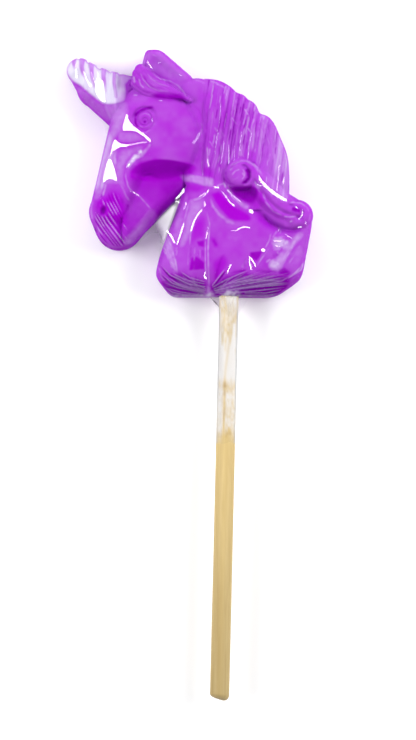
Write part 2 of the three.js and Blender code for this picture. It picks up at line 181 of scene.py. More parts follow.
def strands(x, py, out, th):
    """the mane's strands: 0 on a crest to 1 in a groove, and how far they belong to the right-hand locks"""
    ua = x + (0.18 - 0.07 * ease((x - 250) / 30)) * (py - 95) + 1.6 * noise(x / 23, py / 31) + 0.8 * noise(x / 9 + 2, py / 17)
    ub = out - 0.2 * (50 - th) + 1.2 * noise(x / 19 + 5, py / 27) + 0.6 * noise(x / 8, py / 15 + 6)
    side = 0.22 * ease((x - 256 + 0.20 * (py - 115)) / 5)
    turn = lambda u, k, ph: 0.5 + 0.5 * np.cos(2 * math.pi * (u / k + ph))
    fine_a = 0.56 * turn(ua, 8.3, 0.18) ** 1.5 + 0.32 * turn(ua, 3.3, 0.4) + 0.12 * turn(ua, 1.9, 0.1)
    fine_b = 0.50 * turn(ub, 6.4, 0.3) ** 1.4 + 0.36 * turn(ub, 2.9, 0.0) + 0.14 * turn(ub, 1.8, 0.3)
    return (fine_a * (1 - side) + fine_b * side) * (0.75 + 0.25 * noise(x / 12, py / 40 + 4)), side


def mane_place(x, y):
    """depth inside the mane's crest and the angle round its middle, degrees"""
    rho, th = np.hypot(x - 205, y + 186), np.degrees(np.arctan2(y + 186, x - 205))
    rim = 84.3 + 22.2 * cl(th / 90) ** 1.5 + 2.4 * bell((th - 82) / 7) - 3.4 * bell((th - 53) / 3.4) - 1.6 * bell((th - 71.5) / 2.6)
    rim = rim - 0.9 * bell((th - 63.5) / 1.8) + 1.6 * bell((th - 43) / 7) + 0.9 * bell((th - 20) / 9)
    return rim - rho, th


def undercut(x, py):
    """the hollow under the cheek: its upper edge, its foot, and 0 at the foot to 1 at the edge"""
    arc, foot = 159.6 + 10 * (cl((160 - x) / 28) ** 2) + 7.5 * (cl((x - 160) / 36) ** 2), 178.5 - 6 * ((x - 163) / 34) ** 2
    return arc, foot, (foot - py) / np.maximum(foot - arc, 9)


def relief(mx, my):
    """the candy's height (run on level outside its outline), its depth inside the outline and the depths of its groups"""
    x, y = mx / U + OX, my / U - OY
    py = -y
    f = {}
    f["neck"] = convex(x, y, NECK, 5)
    f["nape"] = capsule(x, y, V((197, 100)), 21.5, V((200, 178)), 17)
    out, th = mane_place(x, y)
    f["mane"] = smin(smin(out, x - 201, 6), y + 212, 6)
    f["skull"] = disc(x, y, V((158, 117)), 38)
    f["jaw"] = capsule(x, y, V((119, 226)), 23, V((166, 178)), 24)
    f["nose"] = capsule(x, y, V((112, 208)), 21.5, V((138, 126)), 28)
    f["muzzle"] = capsule(x, y, V((111, 212)), 22, V((119, 228)), 20.5)
    f["cheek"] = (1 - np.hypot((x - 165) / 40, (y + 137.5) / 48.5)) * 42
    f["ear"] = convex(x, y, EAR, 4)
    horn, hlat, hal = chain(x, y, HORN, lambda t: (27.5, 20.6, 13.0)[int(round(t * 2))])
    from_band = np.min([np.abs(x - b) for b in HORN_RIDGES], axis=0)
    horn = horn - 1.7 * ease((from_band - 2.4) / 3.0) * ease((hlat - 0.35) / 0.3) * ease((124 - x) / 6)
    locks = [(chain(x, y, bez(V(a), V(b), V(c), 9), lambda s, r0=r0, r1=r1: r0 + (r1 - r0) * s), h) for a, b, c, r0, r1, h in FORELOCK]
    arm, alat, aal = chain(x, y, bez3(V((244, 168)), V((264, 178)), V((266, 206)), V((297, 214)), 14), lambda t: 8 + 3 * t + 6 * math.sin(math.pi * t))
    scrolls = [disc(x, y, V(s[0]), s[1]) for s in SCROLLS]

    body = np.maximum.reduce([f["neck"], f["nape"], f["mane"], arm] + scrolls)
    head = np.maximum.reduce([f["skull"], smax(f["jaw"], f["muzzle"], 7), f["nose"], f["cheek"]])
    top = np.maximum.reduce([f["ear"]] + [s[0][0] for s in locks])
    depth = np.maximum.reduce([body, head, top, horn])

    def wall(d, soft):
        """1 inside a form and along the outer outline, round at its inner edges"""
        return np.maximum(q(d / soft), q((d - depth + soft) / soft))

    def raised(d, base, crown, w, soft):
        e = wall(d, soft)
        return np.where(e > 0, base * e + crown * q(d / w), -1.0)

    # neck block, falling away to its foot
    neck = f["neck"]
    e = wall(neck, 3)
    foot = cl((py - 262 - 4 * noise(x / 17, x * 0)) / 36) ** 2.2 * (1 - 0.75 * bell((x - 229) / 13))
    h = np.where(e > 0, 11.0 * e + 2.2 * q(neck / 5) + 3.2 * q(neck / 55) - 6.0 * foot, -1.0)
    h = h - 1.4 * bell(chain(x, y, bez(V((252, 206)), V((264, 222)), V((280, 229)), 8), lambda t: 0.01)[0] / 5)
    h = smax(h, raised(f["nape"], 11.5, 2.2, 6, 2) + 1.0 * q(f["nape"] / 20), 1.2)

    # mane: strands run down from the crest, the right-hand ones along the outline
    cut, side = strands(x, py, out, th)
    m = 11.0 * wall(f["mane"], 2) + 2.0 * q(out / 5) + 3.0 * q(out / 34) - 6.0 * ease((206 - x) / 9)
    m = m - 0.85 * cut * ease(out / 2.5) - 0.4 * side
    h = smax(h, np.where(f["mane"] > -2, m, -1.0), 0.8)

    # head: skull, cheek and nose run into each other, the jaw lies lower behind an undercut
    jaw = raised(f["jaw"], 8.4, 5.6, 15, 2)
    face = smax(raised(f["skull"], 10.5, 6.0, 26, 2), raised(f["nose"], 9.0, 7.4, 18, 2), 2.4)
    face = smax(face, raised(f["muzzle"], 8.6, 6.6, 15, 2), 2.0)
    face = smax(face, raised(f["cheek"], 12.0, 6.0, 40, 11), 2.6)
    arc, foot, v = undercut(x, py)
    nose_end = np.interp(py, [p[0] for p in JAW_LINE], [p[1] for p in JAW_LINE])
    open_ = np.maximum(cl(v) ** 1.4, 1 - ease((x - nose_end + 6) / 13))
    shallow = 1 - 0.6 * ease((168 - x) / 44)
    face = smin(face, 8.5 + 5.6 * q(depth / 15) + 4.2 * (1 - shallow * (1 - open_)), 2.0)
    h = smax(h, jaw, 1.0)
    h = smax(h, face, 1.0)

    h = smax(h, raised(f["ear"], 10.6, 3.4, 6, 1.6) - 0.9 * ease((f["ear"] - 5) / 9) * ease((100 - py) / 30), 0.8)
    ridge = 1 - 2 * ease(from_band / 4.6)
    h = smax(h, raised(horn, 5.5, 7.0 - 2.4 * hal, 20 - 8 * hal, 2) + np.where(horn > 0, 0.55 * ridge * q(horn / 7) * ease((hlat + 0.62) / 0.25), 0), 1.0)
    for (d, lat, al), base in locks:
        h = smax(h, raised(d, base, 1.8, 5.4, 1.6), 1.5)
    # eye: a lid, a ring and a pupil
    r, a = np.hypot(x - 144.8, y + 119.4), np.arctan2(y + 119.4, x - 144.8)
    h = h - 0.4 * bell((r - 10.6) / 1.6) * ease((np.cos(a - 1.9) - 0.10) / 0.5) - 0.35 * bell((r - 10.8) / 1.6)
    h = h - 0.50 * bell((r - 6.9) / 1.0) - 0.45 * bell((np.hypot(x - 145.2, y + 121.4) - 2.2) / 1.1)

    # scrolls and the ribbon between them
    ha = raised(arm, 13.0, 4.6, 12, 2)
    ha = np.where(arm > 0, ha - 0.8 * bell((alat - 0.30) / 0.16) * ease(arm / 3) * ease(aal / 0.2) + 0.25 * bell((alat + 0.55) / 0.2), ha)
    h = smax(h, ha, 0.8)
    for d, s in zip(scrolls, SCROLLS):
        h = smax(h, raised(d, s[2], s[3], 12, 2), 0.8)
    h = h - groove(x, y, [(240, 165.5), (245.5, 167.5), (249, 172.5), (249.3, 178), (246.5, 183), (242, 184.5)], 1.9, 1.1)
    h = h - groove(x, y, [(228, 172), (231, 166), (237, 161.5), (245, 161), (252, 165), (257, 172)], 1.5, 0.7)
    h = h - 1.3 * np.exp(-(((x - 243) / 15) ** 2 + ((py - 193.5 - 0.02 * (x - 243) ** 2 * 0.3) / 5.2) ** 2) ** 1.4)
    h = h - groove(x, y, [(287, 205), (293, 206.5), (299, 209), (302, 213), (300, 218), (295, 219)], 1.8, 1.0)
    h = h - groove(x, y, [(262, 214), (270, 223), (282, 230), (294, 231), (304, 226)], 2.2, 0.9)
    # nostril and mouth
    xx, yy = x - 103.4, y + 211.0
    h = h + 0.5 * np.exp(-((xx / 8) ** 2 + (yy / 9) ** 2)) - 1.2 * np.exp(-((xx / 3.0) ** 2 + (yy / 4.4) ** 2) ** 1.3)
    h = h - groove(x, y, [(123, 247), (121.5, 236), (121, 226), (122.5, 216)], 1.3, 0.7)
    return np.maximum(h, 2.5), depth * U, body * U, head * U, top * U, horn * U


# ------------------------------------------------------------------ a plan grid of the relief
STEP = 0.155
GX, GY = np.arange(-54.0, 31.0, STEP), np.arange(-6.0, 82.0, STEP)
X, Y = np.meshgrid(GX, GY, indexing="ij")
PX, PY = X / U + OX, OY - Y / U            # the same points in drawing units
H, DEPTH, BODY, HEAD, TOP, HORN_D = relief(X, Y)
FILM_DEPTH = smax(smax(smax(BODY, HEAD, 11), HORN_D, 5), TOP, 3) + FILM


def look(grid, x, y):
    """smooth (cubic) reading of a plan grid"""
    u, v = (x - GX[0]) / STEP, (y - GY[0]) / STEP
    u, v = np.clip(u, 1.001, len(GX) - 3.001), np.clip(v, 1.001, len(GY) - 3.001)
    i, j = np.floor(u).astype(int), np.floor(v).astype(int)
    u, v = u - i, v - j

    def w(t):
        return (((-t + 2) * t - 1) * t / 2, ((3 * t - 5) * t * t + 2) / 2, ((-3 * t + 4) * t + 1) * t / 2, (t - 1) * t * t / 2)

    wu, wv = w(u), w(v)
    flat, n = grid.ravel(), grid.shape[1]
    out = 0
    for a in range(4):
        row = 0
        for b in range(4):
            row = row + wv[b] * flat[(i + a - 1) * n + (j + b - 1)]
        out = out + wu[a] * row
    return out


def blur(g, r):
    """box blur twice, radius in grid steps"""
    for _ in range(2):
        for ax in (0, 1):
            p = np.pad(g, [(r + 1, r) if k == ax else (0, 0) for k in (0, 1)], mode="edge")
            c = np.cumsum(p, axis=ax)
            n = g.shape[ax]
            hi, lo = np.take(c, range(2 * r + 1, 2 * r + 1 + n), axis=ax), np.take(c, range(0, n), axis=ax)
            g = (hi - lo) / (2 * r + 1)
    return g


# ------------------------------------------------------------------ lights, as directions from the part
LIGHTS = {   # azimuth and zenith angle in degrees, distance, width, height in metres, radiance
    "left": (176, 50, 1.0, 0.70, 0.34, 10.0),
    "right": (22, 50, 1.0, 0.80, 0.34, 10.0),
    "top": (92, 48, 1.1, 1.30, 0.80, 1.38),
}


def facing(name):
    """the slope of a film facet that sends that light straight up"""
    az, ze = math.radians(LIGHTS[name][0]), math.radians(LIGHTS[name][1])
    t = math.tan(ze / 2)
    return -t * math.cos(az), -t * math.sin(az)


# ------------------------------------------------------------------ film: masks on the plan grid
def inside(pts):
    """1 inside a closed outline given in drawing units, 0 outside"""
    m = np.zeros(PX.shape, bool)
    n = len(pts)
    for i in range(n):
        (ax, ay), (bx, by) = pts[i], pts[(i + 1) % n]
        if ay == by:
            continue
        cross = (ay > PY) != (by > PY)
        m ^= cross & (PX < (bx - ax) * (PY - ay) / (by - ay) + ax)
    return m.astype(float)


def along(pts, r0, r1=None):
    """distance from a line in drawing units over its half-width (0 on the line, 1 at its edge), and the way along"""
    r1 = r0 if r1 is None else r1
    best, al = np.full(PX.shape, 1e9), np.zeros(PX.shape)
    ln = [math.hypot(pts[i + 1][0] - pts[i][0], pts[i + 1][1] - pts[i][1]) for i in range(len(pts) - 1)]
    total, run = sum(ln), 0.0
    for i in range(len(pts) - 1):
        (ax, ay), (bx, by) = pts[i], pts[i + 1]
        t = cl(((PX - ax) * (bx - ax) + (PY - ay) * (by - ay)) / (ln[i] ** 2))
        s = (run + t * ln[i]) / total
        d = np.hypot(PX - ax - t * (bx - ax), PY - ay - t * (by - ay)) / (r0 + (r1 - r0) * s)
        m = d < best
        best, al = np.where(m, d, best), np.where(m, s, al)
        run += ln[i]
    return best, al


def curve(p0, p1, p2, n=10):
    return [tuple(v) for v in bez(p0, p1, p2, n)]


# glints: taut places of the film that lie towards one light, as outlines (light, strength, points) ...
GLINT_PATCHES = [
    ("left", 1.0, [(127, 114.5), (126, 117), (124.8, 121), (123.6, 126), (122.8, 130), (124.5, 131.5), (128, 131.3), (133, 131.2), (137, 132.5), (141, 135), (145, 138), (148.5, 141), (149.6, 143.2), (151, 143), (150.6, 140.5), (148, 137.5), (143, 133.8), (138, 130.4), (134, 127.2), (130.5, 123.5), (128.6, 120), (127.8, 116.5)]),
    ("left", 1.0, [(114.5, 139.8), (112.5, 146), (111.8, 152), (114.5, 150.8), (118, 148.7), (121, 147.6), (126, 147.6), (129, 146.4), (129, 145.0), (122, 144.8), (118.5, 143.2), (116.5, 141.2)]),
    ("left", 1.0, [(109.0, 159.5), (107.8, 162), (106.8, 165), (105.2, 171), (104.0, 177), (103.0, 184), (105.2, 181.4), (108, 179.6), (110.5, 179), (113, 179.7), (115.5, 181), (117.4, 183), (117, 179), (116, 174), (114.5, 169), (112.6, 164), (110.8, 159.5)]),
    ("right", 1.0, [(258.3, 175), (258.8, 179.5), (261, 183.7), (264.5, 187.9), (269.5, 192.1), (275, 196.3), (280, 199.4), (284.5, 201.4), (287.4, 201.6), (285.4, 199.3), (279, 195.8), (273, 191.4), (267.5, 186.8), (263.5, 183), (260.5, 179.3), (259.3, 176)]),
    ("right", 1.0, [(248, 211.6), (250, 209.4), (252.2, 210), (253.8, 213.8), (251.5, 214.4)]),
    ("right", 1.0, [(260.8, 249.4), (263.8, 248.4), (265.4, 250), (263.6, 252.6), (261.4, 251.2)]),
    ("left", 1.0, [(96.5, 79), (100, 79.5), (103, 82), (104, 87), (104.2, 92), (104.8, 98), (105.7, 102.8), (102.5, 101.5), (99, 98), (96, 93), (94.8, 88.5), (95.3, 84)]),
    ("left", 0.9, [(183.6, 188), (184.8, 189.6), (183.6, 193.6), (180.4, 196.4), (175.6, 200.2), (174.6, 199.6), (179, 195.4), (182, 191.6)]),
]
# ... and as lines (light, strength, half-width at each end, points)
GLINT_LINES = [
    ("left", 0.60, 0.8, 0.7, [(128, 145.8), (137, 144.4), (146, 142.8)]),
    ("left", 0.75, 1.0, 0.6, [(112, 150), (111, 156)]),
    ("left", 0.62, 0.7, 0.9, [(127.4, 167.6), (130, 164.2)]),
    ("left", 0.55, 0.6, 0.8, [(131.6, 191.6), (135, 193.6), (138.8, 196)]),
    ("left", 0.95, 0.75, 0.9, [(184.0, 224), (182.4, 229), (180.4, 235), (177.4, 244.6)]),
    ("left", 1.0, 0.75, 0.9, [(201.8, 210.4), (197.6, 215.4), (194.2, 221.4), (191.2, 231)]),
    ("left", 1.0, 1.4, 0.8, [(167.4, 231.2), (171, 236), (174.8, 243)]),
    ("left", 0.8, 0.5, 0.8, [(208.4, 227), (207.2, 233), (206.3, 238.6)]),
    ("right", 0.95, 0.6, 0.9, [(222.8, 192.4), (226, 198), (230, 203), (234.4, 206.8)]),
    ("right", 0.40, 0.7, 0.8, [(227.5, 190.5), (232, 196), (240, 202)]),
    ("right", 0.95, 0.5, 1.0, [(231.6, 231.2), (236, 231), (240, 228.6), (244, 227.4), (249.4, 228.2)]),
    ("right", 1.0, 1.0, 0.9, [(230.6, 265.2), (229, 269), (226.4, 273.8)]),
    ("right", 1.0, 0.9, 0.9, [(249.4, 257.2), (252, 260.2), (255.6, 266.6)]),
    ("right", 1.0, 0.8, 1.0, [(249, 259), (249.8, 264), (251, 269.6)]),
    ("left", 1.0, 0.9, 0.9, [(204.7, 203), (204.8, 206.4)]),
    ("left", 0.95, 0.7, 1.1, [(205.2, 272.6), (204.2, 276.4), (206, 278.6)]),
    ("left", 0.95, 0.9, 0.9, [(215, 187.8), (218.6, 188.4)]),
    ("left", 0.80, 0.7, 0.5, [(208.6, 190.6), (206, 194.2), (202.8, 197.2)]),
    ("left", 0.50, 0.6, 0.6, [(204.4, 193.6), (199.6, 197.2)]),
    ("left", 0.55, 0.9, 0.7, [(186.4, 203.4), (184.2, 209.6)]),
    ("right", 0.9, 0.9, 0.9, [(256.8, 185.4), (260.6, 186.4)]),
    ("right", 0.8, 0.7, 0.7, [(295.2, 207), (297.2, 208.6)]),
    ("right", 0.65, 0.7, 0.7, [(301.8, 210.6), (302.6, 214), (300.4, 217.6), (298.8, 219.6)]),
    ("right", 0.85, 0.9, 0.7, [(298.2, 227.6), (301.2, 227.4)]),
    ("right", 0.50, 0.6, 0.6, [(305.6, 222.8), (305, 225.2)]),
    ("right", 0.55, 0.5, 0.6, [(278.8, 229), (278.6, 231.4)]),
    ("right", 0.60, 0.6, 0.7, [(273.6, 241.2), (280.4, 241.4)]),
    ("right", 0.45, 0.6, 0.6, [(275, 246), (279.6, 247.2)]),
    ("right", 0.50, 0.7, 0.6, [(285.4, 234.6), (291, 238.6)]),
    ("left", 0.75, 0.9, 0.6, [(147.8, 62.6), (149.6, 65.6), (152.2, 69)]),
    ("left", 0.40, 0.6, 0.6, [(157.8, 64), (160, 62.8)]),
    ("left", 0.40, 0.6, 0.6, [(179.6, 75), (182, 76.8)]),
    ("left", 0.50, 0.7, 0.6, [(160, 101.2), (162.4, 102.6)]),
    ("left", 0.60, 0.55, 0.55, [(152.2, 118.6), (152.5, 122.4)]),
    ("right", 0.16, 1.2, 1.9, [(200, 133), (198, 137.6), (194, 143.4)]),
    ("right", 0.40, 0.7, 1.0, [(207.4, 160), (207.8, 163), (208.8, 166.6)]),
    ("right", 0.38, 0.5, 0.5, [(251.8, 133), (249.6, 142), (248.6, 152), (247, 160.6)]),
    ("right", 0.30, 0.5, 0.5, [(241.4, 132), (240, 147), (238.6, 158)]),
    ("right", 0.40, 0.5, 0.7, [(229, 146), (228.6, 156), (228.8, 164.6)]),
    ("right", 0.32, 0.5, 0.5, [(235, 146), (234, 160)]),
    ("right", 0.34, 0.5, 0.6, [(224.4, 141), (222.6, 153), (221, 164)]),
    ("right", 0.28, 0.5, 0.5, [(220.8, 104), (219.6, 122), (218.4, 131), (216.4, 141), (214.8, 154)]),
    ("right", 0.40, 0.5, 0.6, [(279.4, 165), (277.8, 180), (276.4, 191)]),
    ("right", 0.50, 0.6, 0.7, [(283.6, 178), (283, 184.6)]),
    ("left", 0.95, 0.6, 0.8, [(75.8, 64.4), (76.2, 70), (76.6, 77.4)]),
    ("left", 0.95, 0.7, 1.2, [(83.8, 71.6), (86.2, 78.6), (90.6, 86)]),
    ("left", 0.60, 0.5, 0.6, [(91.4, 72.6), (93.2, 78), (94.8, 82.6)]),
    ("left", 0.80, 0.8, 1.0, [(97.6, 72.6), (98.4, 79)]),
    ("left", 0.9, 0.9, 0.9, [(176.4, 202), (179.6, 202.8)]),
]

# raised creases: line, half-width in drawing units, height in mm
CREASES = [
    ([(208.5, 295), (207.5, 284), (205.3, 252), (206.4, 236.6), (209, 222.5), (204.2, 211.6), (205, 203)], 2.4, 0.34),
    ([(217, 187), (209.6, 192), (201, 197.5), (192, 201)], 1.8, 0.26),
    ([(219, 188), (223.7, 193.2), (228, 200.8), (236.7, 208.4), (247, 213)], 1.8, 0.28),
    ([(202, 211.6), (194.5, 222.5), (191.2, 234.4), (188, 250)], 1.6, 0.22),
    ([(188, 211.6), (181.4, 234.4), (177, 245.2), (175, 262)], 1.6, 0.24),
    ([(166.5, 231), (175.5, 243), (178, 258)], 1.6, 0.22),
    ([(230.2, 231.5), (236.7, 230.8), (242, 228.2), (249.2, 228.2)], 1.6, 0.20),
    ([(125.8, 170.5), (126.3, 181.7), (129.9, 189.9), (139, 195.5), (149.3, 208.3), (155.4, 214.4)], 1.4, 0.22),
    ([(151, 130.7), (145, 134.2)], 1.2, 0.14),
    ([(294, 240), (286, 252), (278, 267)], 2.4, 0.3),
    ([(262, 262), (272, 250), (284, 236)], 2.2, 0.3),
]


def film_height():
    """the film's height over the plan and the height under it"""
    low = np.where(DEPTH > 0.3, H, np.where(DEPTH > -0.35, H * cl((DEPTH + 0.35) / 0.65) + 3.0 * (1 - cl((DEPTH + 0.35) / 0.65)), 3.0)) + LIFT
    low = np.where(FILM_DEPTH > 0, low, H + LIFT)
    fixed = FILM_DEPTH <= 0.12

    def relax(f, floor, keep, gx, gy, pull, base, n):
        """film under tension, never below floor, with wanted slopes gx, gy"""
        div = np.zeros_like(f)
        div[1:-1, 1:-1] = (gx[2:, 1:-1] - gx[:-2, 1:-1] + gy[1:-1, 2:] - gy[1:-1, :-2]) / 2
        colour = (np.add.outer(np.arange(f.shape[0]), np.arange(f.shape[1])) % 2).astype(bool)
        free = ~keep
        free[0, :] = free[-1, :] = free[:, 0] = free[:, -1] = False
        masks = [free & colour, free & ~colour]
        for _ in range(n):
            for m in masks:
                s = np.zeros_like(f)
                s[1:-1, 1:-1] = f[2:, 1:-1] + f[:-2, 1:-1] + f[1:-1, 2:] + f[1:-1, :-2]
                new = (s - div + pull * base) / (4 + pull)
                f = np.where(m, np.maximum(f + 1.75 * (new - f), floor), f)
        return f

    # bridge the hollows, coarse to fine
    f = None
    for k in (8, 4, 2, 1):
        lo, fx = low[::k, ::k], fixed[::k, ::k]
        if f is None:
            f = np.maximum(blur(lo, 2), lo)
        else:
            f = np.repeat(np.repeat(f, 2, 0), 2, 1)[: lo.shape[0], : lo.shape[1]]
            pad = [(0, lo.shape[0] - f.shape[0]), (0, lo.shape[1] - f.shape[1])]
            f = np.maximum(np.pad(f, pad, mode="edge"), lo)
        f = np.where(fx, lo, f)
        zero = np.zeros_like(f)
        f = relax(f, lo, fx, zero, zero, 0.0, zero, 90 if k > 1 else 40)
    tight = f
    # how fully the film bridges: it sinks into the mane's grooves, the scrolls and the hollow under the cheek
    span = np.full(X.shape, 0.95)
    span -= 0.5 * ease((PX - 203) / 8) * ease((190 - PY) / 14)
    arc, foot, v = undercut(PX, PY)
    span -= 0.8 * ease((PX - 128) / 8) * ease((200 - PX) / 8) * ease((v + 0.5) / 0.5) * ease((1.4 - v) / 0.4)
    for s in SCROLLS:
        span = np.minimum(span, 0.40 + 0.55 * ease((np.hypot(PX - s[0][0], PY - s[0][1]) - s[1]) / 6))
    span = np.minimum(span, 0.25 + 0.7 * ease((np.hypot(PX - 103.4, PY - 210.5) - 3) / 4))
    span = blur(cl(span), 3)
    base = low + span * (tight - low)
    base = np.where(DEPTH < 0.3, tight, base)

    # creases and pleats
    gx, gy = np.gradient(base, STEP)
    gx, gy = np.clip(gx, -4, 4), np.clip(gy, -4, 4)
    shape = base.copy()
    for pts, w, hh in CREASES:
        d, al = along(pts, w)
        shape = shape + hh * np.maximum(0, 1 - d) * ease(al / 0.12) * ease((1 - al) / 0.12)
    shape = shape + wrinkles()[0]
    dx, dy = np.gradient(shape - base, STEP)
    gx, gy = gx + dx, gy + dy
    f = relax(shape.copy(), low - LIFT + 0.05, fixed, gx * STEP, gy * STEP, (STEP / 3.0) ** 2, shape, 120)
    return f, low


# the main pleats that gather to the stick
PLEATS = [
    [(158, 262), (170, 275), (188, 284), (206, 287)], [(157, 270), (172, 283), (190, 289), (207, 291)], [(160, 281), (178, 288), (206, 293)],
    [(168, 271), (185, 280), (205, 284)], [(178, 270), (190, 278), (205, 282)], [(163, 287), (180, 292), (206, 295.6)],
    [(181, 277), (195, 284), (206, 289)], [(172, 281), (186, 286.6), (205, 290)],
    [(212, 287.6), (226, 280), (252, 269)], [(213, 289.6), (232, 282), (262, 273)], [(213, 291), (240, 285), (290, 276.6)],
    [(214, 292.6), (250, 287.6), (282, 281), (301, 269)], [(218, 294), (255, 291), (288, 287)], [(240, 296.6), (262, 296.4), (281, 292.6)],
    [(226, 284), (250, 280), (286, 281)], [(212, 286), (219, 277), (226, 268)], [(244, 293), (266, 293), (284, 289.6)], [(238, 288.6), (262, 285), (290, 282.6)],
    [(160, 284), (172, 292), (190, 296), (206, 297)], [(167, 292), (185, 296), (206, 298)], [(165, 276), (183, 287), (205, 292)],
    [(214, 296), (245, 295.4), (276, 294.6)], [(225, 290), (256, 287), (292, 284)], [(240, 283), (262, 279), (280, 274)],
]


def pleat_fans():
    """pleats that gather to the stick: line, half-width, strength"""
    fans = [(pts if pts[0][0] < 209 else pts[::-1], 0.62, 0.95 - 0.35 * float(hash2(i, 2))) for i, pts in enumerate(PLEATS)]
    for i in range(26):
        t, a, b, c = i / 25, float(hash2(i, 3)), float(hash2(i, 5)), float(hash2(i, 7))
        start = (156 + 40 * t + 4 * a, 292 - 22 * t ** 0.7 - 16 * b * (1 - 0.5 * t))
        fans.append((curve(start, (180 + 14 * t - 8 * b, 292 - 10 * c), (209 - 3 * a, 296 - 6 * b)), 0.45 + 0.35 * c * c, 0.12 + 0.45 * float(hash2(i, 11)) ** 2))
    for i in range(34):
        t, a, b, c = i / 33, float(hash2(i, 13)), float(hash2(i, 4)), float(hash2(i, 9))
        start = (304 - 70 * t + 4 * a, 286 - 22 * b * (1 - 0.6 * t) - 8 * t)
        fans.append((curve(start, (258 - 24 * t - 14 * b, 289 - 8 * t - 9 * c), (213 + 6 * a, 295 - 5 * b)), 0.45 + 0.35 * c * c, 0.12 + 0.45 * float(hash2(i, 12)) ** 2))
    return fans


def wrinkles():
    """fine pleats in the film, mm, and the painted highlight and painted shade lines along them"""
    w, line, wrinkle_shade = np.zeros(X.shape), np.zeros(X.shape), np.zeros(X.shape)
    for i, (pts, r, a) in enumerate(pleat_fans()):
        d, al = along(pts, r * 1.3, r)
        fade = ease(al / 0.3) * ease((1 - al) / 0.03)
        ridge = np.maximum(0, 1 - d) * fade
        w += 0.10 * a * ridge
        line = np.maximum(line, a * ridge)
        if i < len(PLEATS):
            # a painted shade line just below each main pleat
            d, al = along([(px + 0.4, py + 2.0) for px, py in pts], 1.4, 0.9)
            wrinkle_shade = np.maximum(wrinkle_shade, 2.0 * a * np.maximum(0, 1 - d * d) * ease(al / 0.3) * ease((1 - al) / 0.1))
    # parallel wrinkles on the muzzle, fanning a little
    k = 0.60 + 0.004 * (PY - 215)
    s = ((PX - 112) - k * (PY - 226)) * 0.86
    m = ease((24 - np.hypot((PX - 113) / 0.92, (PY - 223) / 1.35)) / 7) * ease((PX - 97 + 0.5 * (PY - 205)) / 8) * ease((127 - PX + 0.25 * (PY - 225)) / 4)
    m = m * ease((np.hypot(PX - 103.4, PY - 211) - 4) / 4)
    ph = s / 3.3 + 0.45 * noise(s / 5 + 3, PY / 80) + 0.25 * noise(PX / 30 + 3, PY / 34) + 0.08 * noise(PX / 6, PY / 11)
    tri = np.abs((ph % 1) * 2 - 1)
    w += 0.09 * m * (tri - 0.5)
    # painted highlight lines on the wrinkles' crests and painted shade lines between them
    some = ease(1.7 * noise(s / 3.6 + 5, PY / 11 + 9) + 0.50)
    line = np.maximum(line, 1.25 * m * ease((tri - 0.66) / 0.28) * some * (0.75 + 0.25 * ease((PY - 216) / 10)))
    wrinkle_shade = np.maximum(wrinkle_shade, 0.95 * m * ease((0.5 - tri) / 0.4) * ease(noise(s / 2.9 + 1, PY / 15) + 0.65))
    return w, line, wrinkle_shade


FRONT, UNDER = film_height()


def glints():
    """how much of a glint there is at each point, its strength and the way that the film faces in it"""
    cover, power = np.zeros(X.shape), np.zeros(X.shape)
    face = np.stack([np.zeros(X.shape), np.zeros(X.shape), np.ones(X.shape)])
    rows = [(light, k, ease((blur(inside(pts), 1) - 0.10) / 0.45)) for light, k, pts in GLINT_PATCHES]
    for light, k, r0, r1, pts in GLINT_LINES:
        d, al = along(pts, r0, r1)
        rows.append((light, k, ease((1.45 - d) / 0.9)))
    for light, k, c in rows:
        sx, sy = facing(light)
        n = np.array([-sx, -sy, 1.0]) / math.sqrt(sx * sx + sy * sy + 1)
        m = c > cover
        cover, power = np.where(m, c, cover), np.where(m, k, power)
        face = np.where(m[None], n[:, None, None], face)
    return cover, power, face


GLINT, SHINE, FACE = glints()


# ------------------------------------------------------------------ colour over the plan: pale for the film's haze and for painted reflections and highlights, deep for painted shade
# over the ridged front of the horn the film's haze and a painted glare lie pale, broken by bands where the candy shows
HORN_FRONT = [(66, 73), (71, 79.6), (80.5, 85), (89.3, 93), (98, 99.7), (103.3, 103.4), (107.7, 104.3), (115.8, 103.8), (124.6, 101), (126, 92), (125, 84), (133, 78), (131, 70), (60, 50)]
HORN_BANDS = [   # line, half-width at top and foot, fading at the foot
    ([(73.8, 57), (74, 63), (75, 71)], 2.6, 1.2, 0.9),
    ([(82.6, 57), (81.6, 66), (83, 74), (87, 80)], 3.2, 1.0, 0.6),
    ([(91.4, 60), (91.6, 69.7), (92.6, 80), (94.4, 87.5)], 2.8, 1.0, 0.4),
    ([(104.2, 65), (103.4, 76.3), (105.4, 88), (106, 92)], 3.1, 0.9, 0.6),
    ([(114.5, 69), (114.2, 82.9), (115.8, 94), (116, 97)], 1.9, 1.6, 0.4),
    ([(131, 82), (129.6, 88), (130, 94)], 3.0, 3.4, 0.1),
]
